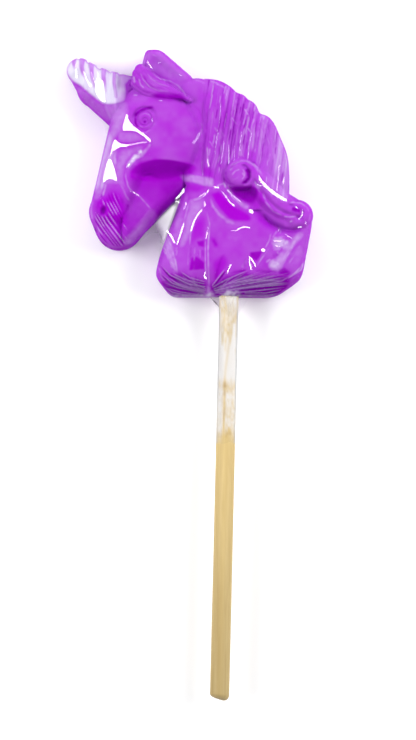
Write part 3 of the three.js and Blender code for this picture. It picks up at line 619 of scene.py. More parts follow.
# soft pale strokes, film haze and painted highlights: line, half-width at each end, strength
HAZE_AND_HIGHLIGHT_STROKES = [
    # scroll's dome
    ([(229, 172), (233, 167.4), (239, 165.4)], 1.2, 1.3, 0.20),
    ([(231, 176.6), (235, 172), (240.4, 169.6)], 0.9, 0.9, 0.22),
    ([(243, 170.4), (244.6, 173.6), (243.8, 178)], 0.9, 0.8, 0.34),
    ([(231, 181), (236, 179.4), (240, 176)], 0.8, 0.9, 0.16),
    ([(231, 167.4), (238, 162.8), (247, 161.6), (254, 165.4), (262.4, 173)], 0.9, 1.3, 0.30),
    # film haze and painted highlights along the foot's left side
    ([(165, 233), (171, 246), (175.6, 262), (178, 276)], 1.2, 1.0, 0.36),
    ([(163, 245), (168, 256), (173.6, 267)], 0.9, 0.7, 0.30),
    ([(305, 259), (301, 270), (288, 278.6), (271, 282.6)], 0.8, 0.7, 0.55),
    ([(303, 233), (295, 243.6), (287, 256), (281, 269)], 0.7, 0.6, 0.34),
    # face
    ([(150.4, 143), (149.6, 147), (145, 152), (139, 158)], 1.2, 2.6, 0.26),
    ([(112, 128), (108, 146), (102.6, 162), (98.4, 178), (94, 197)], 4.0, 4.4, 0.52),
    ([(112.6, 149), (110, 156), (106, 168), (102.6, 184), (100.6, 194)], 3.0, 2.0, 0.50),
    ([(112.4, 150), (110.4, 157), (109.6, 164)], 1.8, 2.4, 0.62),
    ([(116.6, 149.6), (114.6, 158), (116, 167)], 1.8, 1.6, 0.34),
    ([(120.6, 112), (124, 117), (122.4, 124)], 1.8, 1.2, 0.24),
    ([(106.4, 183), (104.8, 190), (102.6, 197)], 1.4, 1.0, 0.36),
    ([(118, 181), (122, 187), (126.6, 197), (131, 203)], 1.0, 1.2, 0.20),
    ([(126, 168), (126, 178), (128.5, 187), (131.5, 191.4), (139, 196), (148, 206), (155, 214)], 0.9, 0.8, 0.24),
    ([(156.6, 122), (151, 129.6), (145, 134.4), (139, 138)], 0.7, 0.6, 0.22),
    ([(199.6, 121), (202.8, 127), (200.6, 134), (195, 143)], 1.1, 2.2, 0.16),
    ([(192, 146), (200, 141), (204, 131)], 2.2, 1.8, 0.10),
    ([(91.5, 198), (90, 209), (92.5, 222)], 2.6, 2.0, 0.26),
    ([(104.6, 103), (107.6, 111), (112, 121)], 2.8, 3.2, 0.24),
    ([(207.2, 146), (207.6, 156), (208.6, 168)], 0.9, 1.0, 0.30),
    ([(201.6, 160), (203, 178)], 0.5, 0.5, 0.26),
    ([(193, 175), (193.8, 183)], 1.2, 1.2, 0.42),
    # eye
    ([(139.4, 121.6), (140.4, 116.6), (145, 114), (149.6, 115.6), (151.4, 120)], 0.9, 0.8, 0.14),
    ([(138.6, 126.4), (144.6, 128.6), (151, 126)], 0.8, 0.8, 0.14),
    # ear and forelock
    ([(142.6, 69), (144.6, 60), (147.6, 54)], 1.6, 1.2, 0.24),
    ([(181, 65.6), (187, 72), (192, 78)], 2.6, 2.2, 0.18),
    ([(150, 54), (158, 57.6), (166, 64)], 1.2, 1.2, 0.16),
    ([(140, 72), (143, 80), (150, 88), (158, 91.5), (172, 92.5)], 0.8, 0.7, 0.22),
    ([(146, 73), (152, 80), (160, 85), (172, 88)], 0.8, 0.7, 0.20),
    ([(151, 72), (160, 79.5), (170, 81.5), (178, 86), (184, 93), (188, 101)], 0.8, 1.1, 0.28),
    ([(138.8, 79), (141, 86), (145, 89.6)], 0.8, 0.9, 0.30),
    ([(133.6, 77), (135, 84)], 1.2, 1.0, 0.36),
    ([(133, 95.6), (138, 96)], 1.0, 0.8, 0.26),
    ([(190, 79), (198, 81), (207, 85)], 2.0, 2.0, 0.14),
    # neck, left of the upright fold
    ([(189.6, 199), (186.6, 212), (182.4, 228), (176.6, 247)], 1.2, 1.1, 0.26),
    ([(202, 211), (195, 220), (190.4, 234), (189.6, 248)], 1.3, 0.8, 0.22),
    ([(191, 201.4), (200, 198.6), (209.6, 191.4)], 1.6, 1.0, 0.32),
    ([(167, 233), (166, 242), (169, 254), (174, 268), (178, 275)], 0.8, 0.7, 0.30),
    ([(164, 246), (168, 258), (175, 272)], 0.9, 0.7, 0.26),
    ([(171, 244), (174, 256), (175.6, 270)], 0.8, 0.7, 0.24),
    ([(162.4, 246.6), (166.6, 251)], 0.7, 0.8, 0.45),
    ([(163.6, 250.6), (166.2, 254.8)], 0.7, 0.6, 0.34),
    ([(177, 246), (176.4, 257)], 1.8, 1.2, 0.20),
    ([(195, 246), (194, 262)], 0.8, 0.6, 0.20),
    ([(199.8, 249), (200.2, 259)], 0.8, 0.6, 0.20),
    ([(188.6, 250), (187.6, 268)], 0.8, 0.7, 0.16),
    ([(159, 266), (160.6, 275), (166, 283)], 1.6, 1.2, 0.20),
    ([(206.4, 283), (205.4, 262), (205.4, 246), (206, 238)], 0.7, 0.6, 0.30),
    ([(209.6, 294), (208.4, 270), (208, 250), (208.6, 238), (209.6, 224), (207, 214), (205.4, 207)], 0.8, 0.8, 0.34),
    # neck, right of it
    ([(209.8, 196.6), (213, 206.6), (219, 215), (228, 222), (238, 226)], 1.2, 2.4, 0.24),
    ([(228, 189.6), (234, 198), (243, 205.6), (251, 209)], 1.6, 2.8, 0.28),
    ([(226.4, 189.6), (223.8, 184), (219, 185.4), (212, 190)], 1.1, 0.9, 0.40),
    ([(228, 185), (229, 188)], 0.8, 0.8, 0.30),
    ([(298, 236.6), (290, 248), (284, 258), (276, 268)], 1.8, 3.2, 0.34),
    ([(301, 244), (294, 256), (287, 266)], 1.4, 1.4, 0.18),
    ([(271, 233), (269, 241), (264, 250)], 0.9, 0.8, 0.24),
    ([(277.4, 230.6), (272, 238.6)], 0.9, 0.9, 0.30),
    ([(281, 230), (279.6, 234)], 0.8, 0.7, 0.30),
    ([(265.6, 262.6), (270.6, 259.4)], 1.4, 1.0, 0.36),
    ([(272, 244.4), (277, 243.2)], 0.8, 0.7, 0.40),
    ([(281, 240), (286.4, 242)], 0.8, 0.7, 0.42),
    ([(273, 248.8), (281, 249.6)], 0.8, 0.7, 0.34),
    ([(283, 246.6), (287.4, 243.6)], 0.9, 0.7, 0.40),
    ([(276, 238.4), (282, 236.6)], 0.7, 0.6, 0.34),
    ([(277, 251), (278, 255)], 0.8, 0.7, 0.26),
    ([(293.6, 243), (291, 250)], 1.0, 0.8, 0.34),
    ([(268, 268.6), (284, 262)], 3.0, 3.0, 0.20),
    ([(254.6, 269), (262, 258), (270, 247)], 0.9, 0.8, 0.24),
    ([(241.6, 269), (246.6, 259)], 2.2, 1.4, 0.16),
    ([(304.6, 261), (300, 268), (294, 274), (286, 279)], 0.8, 1.0, 0.40),
    ([(306, 231), (309, 220), (311, 212)], 1.4, 1.2, 0.14),
    ([(305.4, 262), (308, 246)], 1.6, 1.4, 0.18),
    ([(286, 204.6), (293, 202.6), (301, 203.6), (307, 208), (310, 215)], 1.0, 1.0, 0.24),
    ([(283, 217), (290, 217.6), (297, 216.4)], 0.9, 0.8, 0.28),
    ([(289.6, 222.6), (292.6, 221)], 1.0, 0.8, 0.40),
    ([(262, 191), (266, 203), (273, 212), (284, 217)], 1.3, 1.1, 0.20),
    ([(254, 181), (257, 186), (260, 190)], 0.8, 0.8, 0.34),
    # scroll
    ([(228, 172), (231, 166), (237, 161.8), (246, 161.6), (254, 166), (260, 173), (264, 180)], 1.0, 2.0, 0.20),
    ([(241.6, 169), (244.2, 172.6), (244.0, 177.6), (241, 181)], 0.7, 0.6, 0.26),
    ([(242.6, 173), (243.4, 176)], 1.0, 0.9, 0.36),
    ([(225, 178), (232, 181.6), (240, 183)], 0.8, 0.7, 0.10),
    # mane
    ([(207, 80.6), (218, 84), (228, 91)], 1.2, 1.2, 0.22),
    ([(213, 82.6), (224, 88), (231, 98)], 1.0, 0.8, 0.22),
    ([(221, 98), (219.6, 122), (217, 140), (214.5, 156)], 0.9, 0.9, 0.24),
    ([(213.6, 108), (212, 120), (210, 140)], 1.2, 1.0, 0.16),
    ([(224.6, 139), (222.4, 155), (221, 166)], 0.9, 0.9, 0.26),
    ([(229, 143), (228.6, 165)], 0.8, 0.9, 0.26),
    ([(231.6, 116), (230.4, 134)], 0.8, 0.8, 0.24),
    ([(236.4, 98), (233.4, 120)], 0.8, 0.8, 0.24),
    ([(241.8, 130), (240, 147), (238.4, 159)], 0.9, 0.9, 0.28),
    ([(252, 130), (249.6, 142), (248.4, 152), (247, 162)], 0.9, 0.9, 0.30),
    ([(247.6, 107), (244.4, 121), (243, 127)], 0.8, 0.8, 0.28),
    ([(256, 110), (252.6, 126)], 1.2, 1.0, 0.26),
    ([(279.6, 163), (277.8, 180), (276.2, 193)], 0.9, 0.9, 0.34),
    ([(283.8, 176), (283, 186)], 0.9, 0.9, 0.36),
    ([(275.4, 172), (272.4, 189)], 0.8, 0.8, 0.26),
    ([(270.4, 153), (268, 163)], 0.9, 0.8, 0.26),
    ([(264, 131), (270.4, 147)], 0.7, 0.7, 0.20),
    ([(272, 147), (279, 157), (288, 172)], 0.9, 0.9, 0.24),
    ([(277.4, 133), (275, 148)], 0.8, 0.8, 0.26),
    ([(268.6, 118), (264, 131)], 1.0, 0.8, 0.28),
    ([(260, 122), (257, 140), (254, 156)], 1.0, 0.8, 0.20),
    ([(262, 150), (259, 166)], 0.8, 0.8, 0.24),
    ([(284, 148), (288, 164), (289, 190)], 1.8, 1.8, 0.22),
]
# deep strokes, painted shade, in the same form
PAINTED_SHADE_STROKES = [
    # eye
    ([(135, 120.6), (136.4, 115), (140, 111.5), (146, 109.3), (152, 108.4), (154.8, 110.8)], 1.7, 1.5, 1.25),
    ([(135.6, 117), (135.8, 124), (138.2, 129)], 1.5, 0.9, 0.85),
    ([(139, 129.6), (145, 131.4), (151, 129.4), (154.6, 124)], 0.8, 0.7, 0.45),
    ([(143.4, 122.4), (146.6, 122.8)], 1.6, 1.6, 0.85),
    # forelock, ear and horn root
    ([(143, 75), (147, 83), (153, 87.5), (166, 90)], 0.9, 0.7, 0.42),
    ([(150, 74.6), (156, 79.4), (164, 82), (174, 86)], 0.8, 0.7, 0.38),
    ([(141, 91), (150, 93.4), (158, 94)], 1.2, 1.2, 0.40),
    ([(128.8, 84.4), (132.8, 86.8)], 1.3, 1.0, 0.85),
    ([(133.6, 88.6), (130.4, 90.6), (127.6, 93)], 0.8, 0.7, 0.65),
    ([(146, 70), (154, 74), (162, 79)], 1.4, 1.2, 0.35),
    ([(105.6, 104.4), (112, 104.4), (122, 102.6)], 0.8, 0.9, 0.45),
    # nape and cheek
    ([(190, 102), (199, 111), (206, 126)], 1.2, 1.0, 0.20),
    ([(207.4, 100), (206.6, 132), (203.8, 150), (203.4, 166)], 1.2, 1.8, 0.48),
    ([(200.6, 146), (199.6, 158), (195, 166)], 2.4, 2.4, 0.35),
    # jaw
    ([(186, 184), (174, 198), (163, 208), (152, 219)], 6.0, 5.0, 0.95),
    ([(182, 182), (168, 198), (154, 213), (138, 232)], 10.0, 8.0, 0.62),
    ([(152, 219), (140, 231), (129, 243)], 5.0, 4.6, 0.42),
    ([(149, 207.4), (155.4, 213.6)], 0.8, 0.8, 0.45),
    # muzzle
    ([(122.6, 216), (120.6, 222), (118.4, 229), (118.6, 236), (124, 243)], 1.6, 1.8, 0.85),
    ([(127.6, 203.6), (128, 207), (126.6, 211), (122.8, 216)], 1.7, 1.4, 0.85),
    ([(103, 193), (101.6, 198)], 0.8, 0.8, 0.45),
    ([(100.5, 201), (97.5, 208), (99.5, 216)], 2.0, 1.8, 0.22),
    # scroll, ribbon and hollow
    ([(245.2, 168.4), (248.6, 173), (248.2, 178.4), (245.4, 182.6), (240.6, 184.4)], 2.2, 1.3, 1.30),
    ([(222.6, 178), (228, 183), (236, 186)], 1.2, 1.0, 0.60),
    ([(225, 171), (226.4, 178), (231, 184)], 1.3, 1.1, 0.45),
    ([(291, 209), (296, 210.8), (300.6, 211.8)], 2.2, 1.6, 1.0),
    ([(303, 218), (301.4, 222)], 1.2, 1.0, 0.40),
    ([(254, 206), (262, 216), (272, 224), (284, 229), (296, 230.6)], 2.6, 2.4, 0.62),
    ([(257, 192), (264, 204), (270, 211), (282, 222)], 3.4, 2.6, 0.30),
    # neck
    ([(202.4, 250), (203.6, 257)], 1.0, 0.8, 0.55),
    ([(213, 240), (217, 246)], 1.7, 1.5, 0.50),
    ([(214.6, 285), (217.6, 271), (221, 259), (225, 254)], 1.8, 0.9, 0.60),
    ([(228, 274.4), (240, 271.6), (248, 270.6)], 1.3, 1.7, 0.70),
    ([(255, 271.4), (266, 272.4), (278, 271)], 1.7, 1.7, 0.62),
    ([(245.6, 258.6), (243.4, 268)], 1.0, 1.2, 0.35),
    ([(272, 256), (279, 254.8)], 1.9, 1.6, 0.45),
    ([(178, 272), (190, 277), (205, 281)], 1.0, 1.6, 0.60),
    ([(171, 273.6), (173.4, 276.4)], 1.3, 1.2, 0.70),
    ([(177, 281.6), (181, 283.4)], 1.7, 1.5, 0.80),
    ([(191, 246), (190.6, 262)], 0.9, 0.8, 0.30),
    # mane
    ([(239.8, 93), (237, 110), (235, 125), (233, 141)], 1.6, 1.3, 0.55),
    ([(228.4, 98), (225.4, 116), (221.8, 134), (219.6, 150), (219.8, 166), (222.4, 177)], 1.2, 1.4, 0.60),
    ([(251, 103), (248, 120), (245, 138), (242.6, 153)], 1.1, 1.1, 0.42),
    ([(258, 136), (254.6, 151)], 1.6, 1.4, 0.38),
    ([(232.4, 104), (229.6, 125), (227, 140)], 1.0, 1.0, 0.40),
    ([(238.4, 142.6), (239, 147.6)], 1.3, 1.1, 0.60),
    ([(263, 138), (264.8, 147)], 1.6, 1.4, 0.34),
    ([(242.8, 112), (243.4, 121)], 1.2, 1.0, 0.36),
    ([(262.6, 119), (259, 136)], 1.1, 1.0, 0.34),
    ([(270.4, 123), (267.6, 139)], 1.0, 0.9, 0.30),
    ([(268, 148), (266.6, 160)], 1.0, 0.9, 0.32),
    ([(273.4, 158), (270.4, 178)], 0.9, 0.9, 0.34),
    ([(281, 166), (279.6, 186)], 0.9, 0.9, 0.26),
]
# film haze with painted highlights and reflections
HAZE_AND_HIGHLIGHT_PATCHES = [   # outline, softness in grid steps, strength, mottling
    ([(141, 150.5), (143, 153), (140.5, 157), (136.5, 159.6), (132.5, 163), (129, 167.8), (126.8, 168.4), (128.2, 164.6), (131.6, 159.8), (135.6, 154.6), (138.6, 151.6)], 2, 0.80, 0.75),
    ([(118, 152), (130, 149), (146, 145), (140, 152), (128, 160), (124, 168), (122, 180), (127, 192), (119, 186), (115, 170)], 5, 0.17, 0.4),
    ([(118, 132), (135, 133), (146, 140), (128, 143), (119, 142)], 4, 0.15, 0.3),
    ([(112, 122), (122, 106), (128, 112), (124, 122), (122, 131), (114, 139), (112, 150), (118, 152), (116, 168), (120, 184), (106, 184), (101, 196), (93, 202), (96, 188), (103, 160), (110, 135)], 5, 0.21, 0.3),
    ([(104, 103), (127, 101), (129, 112), (122, 124), (113, 127), (109, 116)], 5, 0.19, 0.3),
    ([(72, 82), (84, 89), (98, 101), (106, 105), (112, 124), (98, 116), (84, 103), (76, 92)], 4, 0.13, 0.3),
    ([(141, 70), (145, 52), (160, 50), (192, 79), (180, 84), (160, 76), (146, 70)], 5, 0.115, 0.3),
    ([(180, 174.6), (194, 175.4), (213.4, 179), (213.4, 187.4), (206, 186.4), (192, 182), (184, 181.8)], 2, 0.26, 0.4),
    ([(303.4, 230.6), (299, 232), (292, 239), (284, 248), (276, 258), (269.6, 267), (272, 271), (280, 271), (287, 258), (294, 246.6), (302.6, 237)], 4, 0.26, 0.5),
    ([(290, 254), (302, 240), (305.6, 252), (300, 266), (286, 271)], 9, 0.13, 0.4),
    ([(268.4, 262), (276, 259), (281, 264), (278.4, 270), (269.4, 268)], 3, 0.36, 0.6),
    ([(157, 211.6), (150, 209), (138, 224), (123, 243), (128, 249), (142, 234)], 5, 0.22, 0.3),
    ([(165, 230), (170, 236), (174, 250), (178.4, 276), (172.6, 272), (166, 254), (162, 242)], 4, 0.20, 0.6),
    ([(270, 238), (284, 237), (290, 242), (286, 250), (274, 250)], 4, 0.30, 0.9),
    ([(190, 199), (207, 199), (201, 212), (193, 224), (190, 236), (184, 247), (178, 249), (184, 228), (188, 210)], 4, 0.19, 0.4),
    ([(189, 192), (186, 210), (183, 226), (177, 246), (171, 240), (175, 222), (182, 206), (186, 192)], 4, 0.14, 0.4),
    ([(163, 240), (176, 246), (176, 262), (178, 274), (170, 268), (163, 254)], 4, 0.11, 0.5),
    ([(224, 232), (248, 231), (244, 240), (236, 246), (224, 240)], 8, 0.09, 0.3),
    ([(206, 244), (208.6, 244), (209.4, 297), (206.4, 297)], 2, 0.10, 0.3),
    ([(206, 286), (209.8, 286), (211, 298), (205.6, 298)], 3, 0.26, 0.4),
    ([(306, 236), (314, 214), (315, 224), (309, 262), (304, 262)], 4, 0.08, 0.5),
]
# painted shade in hollows, grooves and on slopes turned from the light: outline, softness in grid steps, strength,
# mottling
PAINTED_SHADE_PATCHES = [
    ([(229, 187.6), (240, 187), (254, 186.4), (258, 190), (257, 198), (252, 204), (247, 203), (240, 200), (234, 195)], 3, 1.0, 0.1),
    ([(240, 191), (251, 190), (252, 200), (247, 202.6)], 5, 1.25, 0.1),
    ([(117, 218), (120.4, 219), (121.4, 228), (120, 237), (117.4, 230)], 2, 0.85, 0.3),
    ([(126.6, 204), (129.4, 205), (129.2, 211.4), (126.6, 211)], 2, 0.70, 0.2),
    ([(121, 198), (123.6, 199), (124, 204), (121.4, 203)], 2, 0.50, 0.2),
    ([(212.4, 291), (216, 284), (224, 279), (240, 275), (228, 283), (216, 293)], 2, 1.55, 0.3),
    ([(238, 288), (252, 285), (257, 287), (249, 291), (240, 291.6)], 2, 1.35, 0.3),
    ([(172, 279), (178, 276.6), (184, 279), (178, 284)], 2, 1.25, 0.2),
    ([(250, 253), (262, 251.6), (259.6, 256.6), (256, 261), (251, 257)], 1, 0.60, 0.2),
    ([(192, 258), (197, 257.4), (204, 263), (204, 269), (190, 270)], 1, 0.42, 0.4),
    ([(197, 242), (204, 241), (204, 247), (199, 246)], 1, 0.40, 0.2),
    ([(279, 270), (284, 268.4), (290, 273), (287, 275.6), (279, 273.6)], 2, 0.75, 0.3),
    ([(150, 95.5), (158, 93.5), (170, 94), (181, 95), (186, 98.5), (188, 102.6), (178, 101.6), (166, 100.8), (156, 99.6)], 3, 0.80, 0.1),
    ([(148, 55), (155, 57), (160, 66), (152, 66)], 5, 0.22, 0.3),
    ([(277, 227), (290, 229.4), (300, 228.6), (303, 232), (290, 235), (280, 231.4)], 3, 0.60, 0.2),
    ([(131, 176), (150, 178), (188, 180), (172, 200), (156, 214), (150, 206), (138, 194), (130, 188)], 5, 0.34, 0.1),
    ([(158, 176), (189, 178), (176, 198), (164, 205), (158, 192)], 9, 0.62, 0.1),
    ([(128, 192), (140, 197), (152, 210), (134, 236), (124, 240), (124, 222), (130, 210)], 6, 0.42, 0.2),
    ([(178, 273), (190, 278), (205, 282), (206, 298), (170, 298), (160, 286), (163, 282), (174, 284)], 4, 1.15, 0.35),
    ([(211, 285), (225, 277), (240, 274), (262, 276), (290, 277), (288, 286), (276, 298), (212, 298)], 4, 1.15, 0.35),
]
# painted highlights where the film bunches along the foot's lower edge and over the end of the stick
FOOT_HIGHLIGHT_PATCHES = [
    ([(221, 297), (225, 293), (229, 290.6), (233, 291.6), (238.6, 292), (241, 296), (240, 300), (221, 300)], 3, 0.62, 0.8),
    ([(163, 292.4), (171, 295.2), (190, 295.8), (206, 294.6), (212, 292), (214, 300), (166, 300)], 3, 0.60, 0.8),
    ([(240, 295.4), (262, 296), (278, 294.8), (274, 300), (240, 300)], 2, 0.30, 0.7),
]
# places where the painted film sheen is left off and the candy shows clear
SHEEN_FREE_PATCHES = [
    ([(211, 194), (219, 191.6), (224, 197), (230, 203), (238, 209), (249, 215), (251.4, 219), (249, 221.6), (240, 221.6), (231, 221.2), (225, 215.4), (219, 208.4), (214, 200.6)], 2, 1.0),
    ([(97, 199), (106, 196), (112, 190), (120, 193), (128, 206), (128, 222), (122, 234), (112, 226), (100, 216), (94, 208)], 6, 1.0),
    ([(203, 168), (212, 168), (213, 178), (203, 176)], 3, 0.8),
    ([(184, 183.4), (195, 183.6), (206, 188), (198, 193), (186, 192)], 3, 0.8),
    ([(250, 186), (262, 190), (268, 202), (258, 210), (250, 206)], 4, 0.7),
    ([(130, 172), (139, 163), (155, 159.6), (190, 163), (196, 168), (187, 181), (160, 182), (138, 182), (130, 178)], 2, 1.0),
    ([(132, 178), (186, 180), (172, 200), (156, 214), (140, 196)], 5, 0.55),
    ([(191, 258), (197, 257), (204.4, 262.6), (204.4, 269.4), (189, 270.6)], 1, 1.0),
    ([(196.4, 242), (204.4, 240.6), (204.4, 247.4), (198.6, 246.4)], 1, 1.0),
    ([(249.6, 253), (262.4, 251), (260, 257), (256, 261.6), (250.6, 257.6)], 1, 1.0),
    ([(278.6, 270), (284, 268), (290.6, 273), (287, 276), (278.6, 274)], 1, 1.0),
    ([(210.6, 238), (214, 238), (218.6, 246.6), (215, 248)], 2, 1.0),
    ([(192, 226), (204, 214), (204.4, 238), (196, 240), (190, 246)], 4, 0.8),
    ([(206, 256), (205, 240), (206.6, 240)], 2, 0.5),
    ([(213, 262), (224, 254), (228, 262), (220, 282), (214, 284)], 4, 0.9),
    ([(254, 208), (264, 219), (277, 228), (272, 232), (258, 222)], 4, 0.8),
]


def mane_hairs():
    """fine painted highlight and painted shade lines along the mane's strands, and a few painted highlight lines across
    its right-hand locks
    """
    hair_highlights, hair_shade = np.zeros(X.shape), np.zeros(X.shape)
    for i in range(96):
        a, b, c, d = (float(hash2(i, k)) for k in (21, 22, 23, 24))
        x0, y0, ln = 208 + 80 * a, 82 + 96 * b, 7 + 17 * c
        lean = 0.19 - 0.08 * float(ease((x0 - 250) / 30))
        pts = [(x0, y0), (x0 - 0.5 * lean * ln + 0.8 * (d - 0.5), y0 + 0.5 * ln), (x0 - lean * ln, y0 + ln)]
        if i % 8 == 7:
            pts = [(x0, y0 + 20), (x0 + 5 + 4 * c, y0 + 28 + 4 * c)]
        dist, al = along(pts, 0.55 + 0.35 * c, 0.5)
        mark = bell(dist) * ease(al / 0.25) * ease((1 - al) / 0.25)
        if i % 5 < 3 or i % 8 == 7:
            hair_highlights = np.maximum(hair_highlights, (0.16 + 0.22 * d) * mark)
        else:
            hair_shade = np.maximum(hair_shade, (0.45 + 0.5 * d) * mark)
    return hair_highlights, hair_shade


def colouring():
    """how pale (film haze and painted highlights) and how deep (painted shade) the candy looks at each point of the
    plan
    """
    def strokes(rows, into):
        for pts, r0, r1, k in rows:
            d, al = along(pts, r0, r1)
            grain = 0.78 + (0.34 if r0 < 2.5 else 0.08) * noise(PX / 3.4 + r0 * 7, PY / 3.4 + k * 9)
            into = np.maximum(into, k * bell(d / 1.05) * ease(al / 0.22 + 0.12) * ease((1 - al) / 0.22 + 0.12) * grain)
        return into

    def patches(rows, into):
        for pts, soft, k, mottle in rows:
            grain = 1 + mottle * (0.6 * noise(PX / 3.1 + k, PY / 3.1 + soft) + 0.5 * noise(PX / 7 + soft, PY / 7) + ease((mottle - 0.5) / 0.2) * 0.5 * noise(PX / 1.5, PY / 1.5))
            into = np.maximum(into, k * blur(inside(pts), soft) * grain)
        return into

    # a faint film haze and painted film sheen everywhere
    haze_and_sheen = 0.062 + 0.024 * noise(PX / 14, PY / 14) + 0.014 * noise(PX / 5 + 4, PY / 5)
    for pts, soft, k in SHEEN_FREE_PATCHES:
        haze_and_sheen = haze_and_sheen * (1 - k * blur(inside(pts), soft))
    pale = patches(HAZE_AND_HIGHLIGHT_PATCHES, strokes(HAZE_AND_HIGHLIGHT_STROKES, np.zeros(X.shape)))
    pale = np.maximum(pale, haze_and_sheen)
    deep = patches(PAINTED_SHADE_PATCHES, strokes(PAINTED_SHADE_STROKES, np.zeros(X.shape)))
    # painted shade in the hollow under the cheek and in the nostril
    arc, foot, v = undercut(PX, PY)
    lens = ease((v + 0.55) / 0.9) * ease((1.03 - v) / 0.12) * ease((PX - 127 + 0.4 * (PY - 170)) / 12) * ease((199 - PX) / 14)
    deep = np.maximum(deep, (0.50 + 0.36 * ease((PX - 134) / 20)) * lens)
    xx, yy = PX - 103.3, PY - 211.0
    deep = np.maximum(deep, 1.25 * np.exp(-(((xx + 0.25 * yy) / 2.7) ** 2 + (yy / 4.7) ** 2) ** 1.6))
    # mane: painted shade in the grooves, painted highlights on the crests that gain towards the outline
    out, th = mane_place(PX, -PY)
    cut, side = strands(PX, PY, out, th)
    zone = ease((PX - 205) / 5) * ease((176 - PY + 0.45 * (PX - 215)) / 10) * ease(out / 1.5)
    zone = zone * ease((np.hypot(PX - 241, PY - 175) - 16) / 4) * ease((-(PX - 262) * 0.62 + 60) / 4)
    right = ease((PX - 236) / 46)
    crest = cl(1 - cut) ** 4 * ease(noise(PX / 6 + 1, PY / 20) + 0.6)
    pale = np.maximum(pale, zone * (0.035 + 0.11 * right ** 2 + (0.22 + 0.14 * right) * crest))
    deep = np.maximum(deep, zone * 1.0 * ease((cut - 0.5) / 0.4) * (1 - 0.5 * right) * (0.75 + 0.4 * noise(PX / 5, PY / 11 + 2)))
    hair_highlights, hair_shade = mane_hairs()
    pale = np.maximum(pale, zone * hair_highlights)
    deep = np.maximum(deep, zone * hair_shade)
    # pleats: their painted shade lines and painted highlight lines
    line, wrinkle_shade = wrinkles()[1:]
    deep = np.maximum(deep, wrinkle_shade)
    pale = np.maximum(pale * (1 - cl(1.3 * deep)), 0.36 * line)
    pale = patches(FOOT_HIGHLIGHT_PATCHES, pale)
    # the horn's pale front: film haze with a painted glare
    front = blur(inside(HORN_FRONT), 2) * (1 - 0.62 * ease((PX - 112 + 3 * noise(PX / 5, PY / 5)) / 14))
    bands = np.zeros(X.shape)
    for pts, r0, r1, k in HORN_BANDS:
        d, al = along(pts, r0, r1)
        bands = np.maximum(bands, ease((1.5 - d) / 0.9) * (1 - k * ease((al - 0.5) / 0.5)))
    edge = ease((1.1 - HORN_D) / 0.9)
    pale = np.maximum(pale, front * (0.84 - 0.58 * bands + 0.07 * noise(PX / 4, PY / 9)) * (1 - 0.28 * edge))
    return cl(pale), cl(0.625 * deep * (1 - 0.8 * front))


HAZE_AND_HIGHLIGHT, PAINTED_SHADE = colouring()


# ------------------------------------------------------------------ closed surfaces from depth fields
CORNERS = [(a, b, c) for a in (0, 1) for b in (0, 1) for c in (0, 1)]


def nets(field, lo, hi, step):
    """a quad surface round the region where field(x, y, z) > 0, its points pulled on to the surface"""
    ax = [np.arange(lo[k], hi[k] + step[k], step[k]) for k in range(3)]
    gx, gy = np.meshgrid(ax[0], ax[1], indexing="ij")
    flat = field.plan(gx, gy)
    val = np.stack([field.at(flat, gx, gy, z) for z in ax[2]], axis=2).astype(np.float32)
    ins = val > 0
    cnt = sum(ins[a: a + val.shape[0] - 1, b: b + val.shape[1] - 1, c: c + val.shape[2] - 1].astype(np.int8) for a, b, c in CORNERS)
    active = (cnt > 0) & (cnt < 8)
    i, j, k = np.nonzero(active)
    index = np.full(active.shape, -1, np.int64)
    index[i, j, k] = np.arange(len(i))
    cv = [val[i + a, j + b, k + c].astype(float) for a, b, c in CORNERS]
    tot, num = np.zeros((len(i), 3)), np.zeros(len(i))
    for p in range(8):
        for r in range(p + 1, 8):
            cp, cr = CORNERS[p], CORNERS[r]
            if sum(abs(cp[t] - cr[t]) for t in range(3)) != 1:
                continue
            m = (cv[p] > 0) != (cv[r] > 0)
            t = np.where(m, cv[p] / np.where(m, cv[p] - cv[r], 1), 0)[:, None]
            tot += np.where(m[:, None], np.array(cp) + t * (np.array(cr) - np.array(cp)), 0)
            num += m
    v = tot / num[:, None]
    pts = np.stack([ax[0][0] + (i + v[:, 0]) * step[0], ax[1][0] + (j + v[:, 1]) * step[1], ax[2][0] + (k + v[:, 2]) * step[2]], axis=1)
    quads = []
    for axis in range(3):
        a = np.take(ins, range(0, ins.shape[axis] - 1), axis=axis)
        b = np.take(ins, range(1, ins.shape[axis]), axis=axis)
        o1, o2 = (axis + 1) % 3, (axis + 2) % 3
        e = np.array(np.nonzero(a != b)).T
        ok = (e[:, o1] > 0) & (e[:, o2] > 0) & (e[:, o1] < ins.shape[o1] - 1) & (e[:, o2] < ins.shape[o2] - 1)
        e = e[ok]
        up = a[e[:, 0], e[:, 1], e[:, 2]]
        ring = []
        for s, t in ((-1, -1), (0, -1), (0, 0), (-1, 0)):
            c = e.copy()
            c[:, o1] += s
            c[:, o2] += t
            ring.append(index[c[:, 0], c[:, 1], c[:, 2]])
        ring = np.stack(ring, axis=1)
        quads.append(np.where(up[:, None], ring, ring[:, ::-1]))
    quads = np.concatenate(quads)
    quads = quads[(quads >= 0).all(axis=1)]
    # on to the surface
    for _ in range(4):
        e = 0.02
        f0 = field(pts)
        g = np.stack([(field(pts + np.eye(3)[t] * e) - field(pts - np.eye(3)[t] * e)) / (2 * e) for t in range(3)], axis=1)
        move = (f0 / np.maximum((g * g).sum(1), 0.15))[:, None] * g
        ln = np.linalg.norm(move, axis=1, keepdims=True)
        pts = pts - move * np.minimum(1, 0.25 / np.maximum(ln, 1e-9))
    return pts, quads


def stick_frame(x, y, z):
    """the way along the stick and the distance from its axis"""
    s = x * math.sin(LEAN) + y * math.cos(LEAN)
    return s, np.hypot(x * math.cos(LEAN) - y * math.sin(LEAN), z - STICK_RISE)


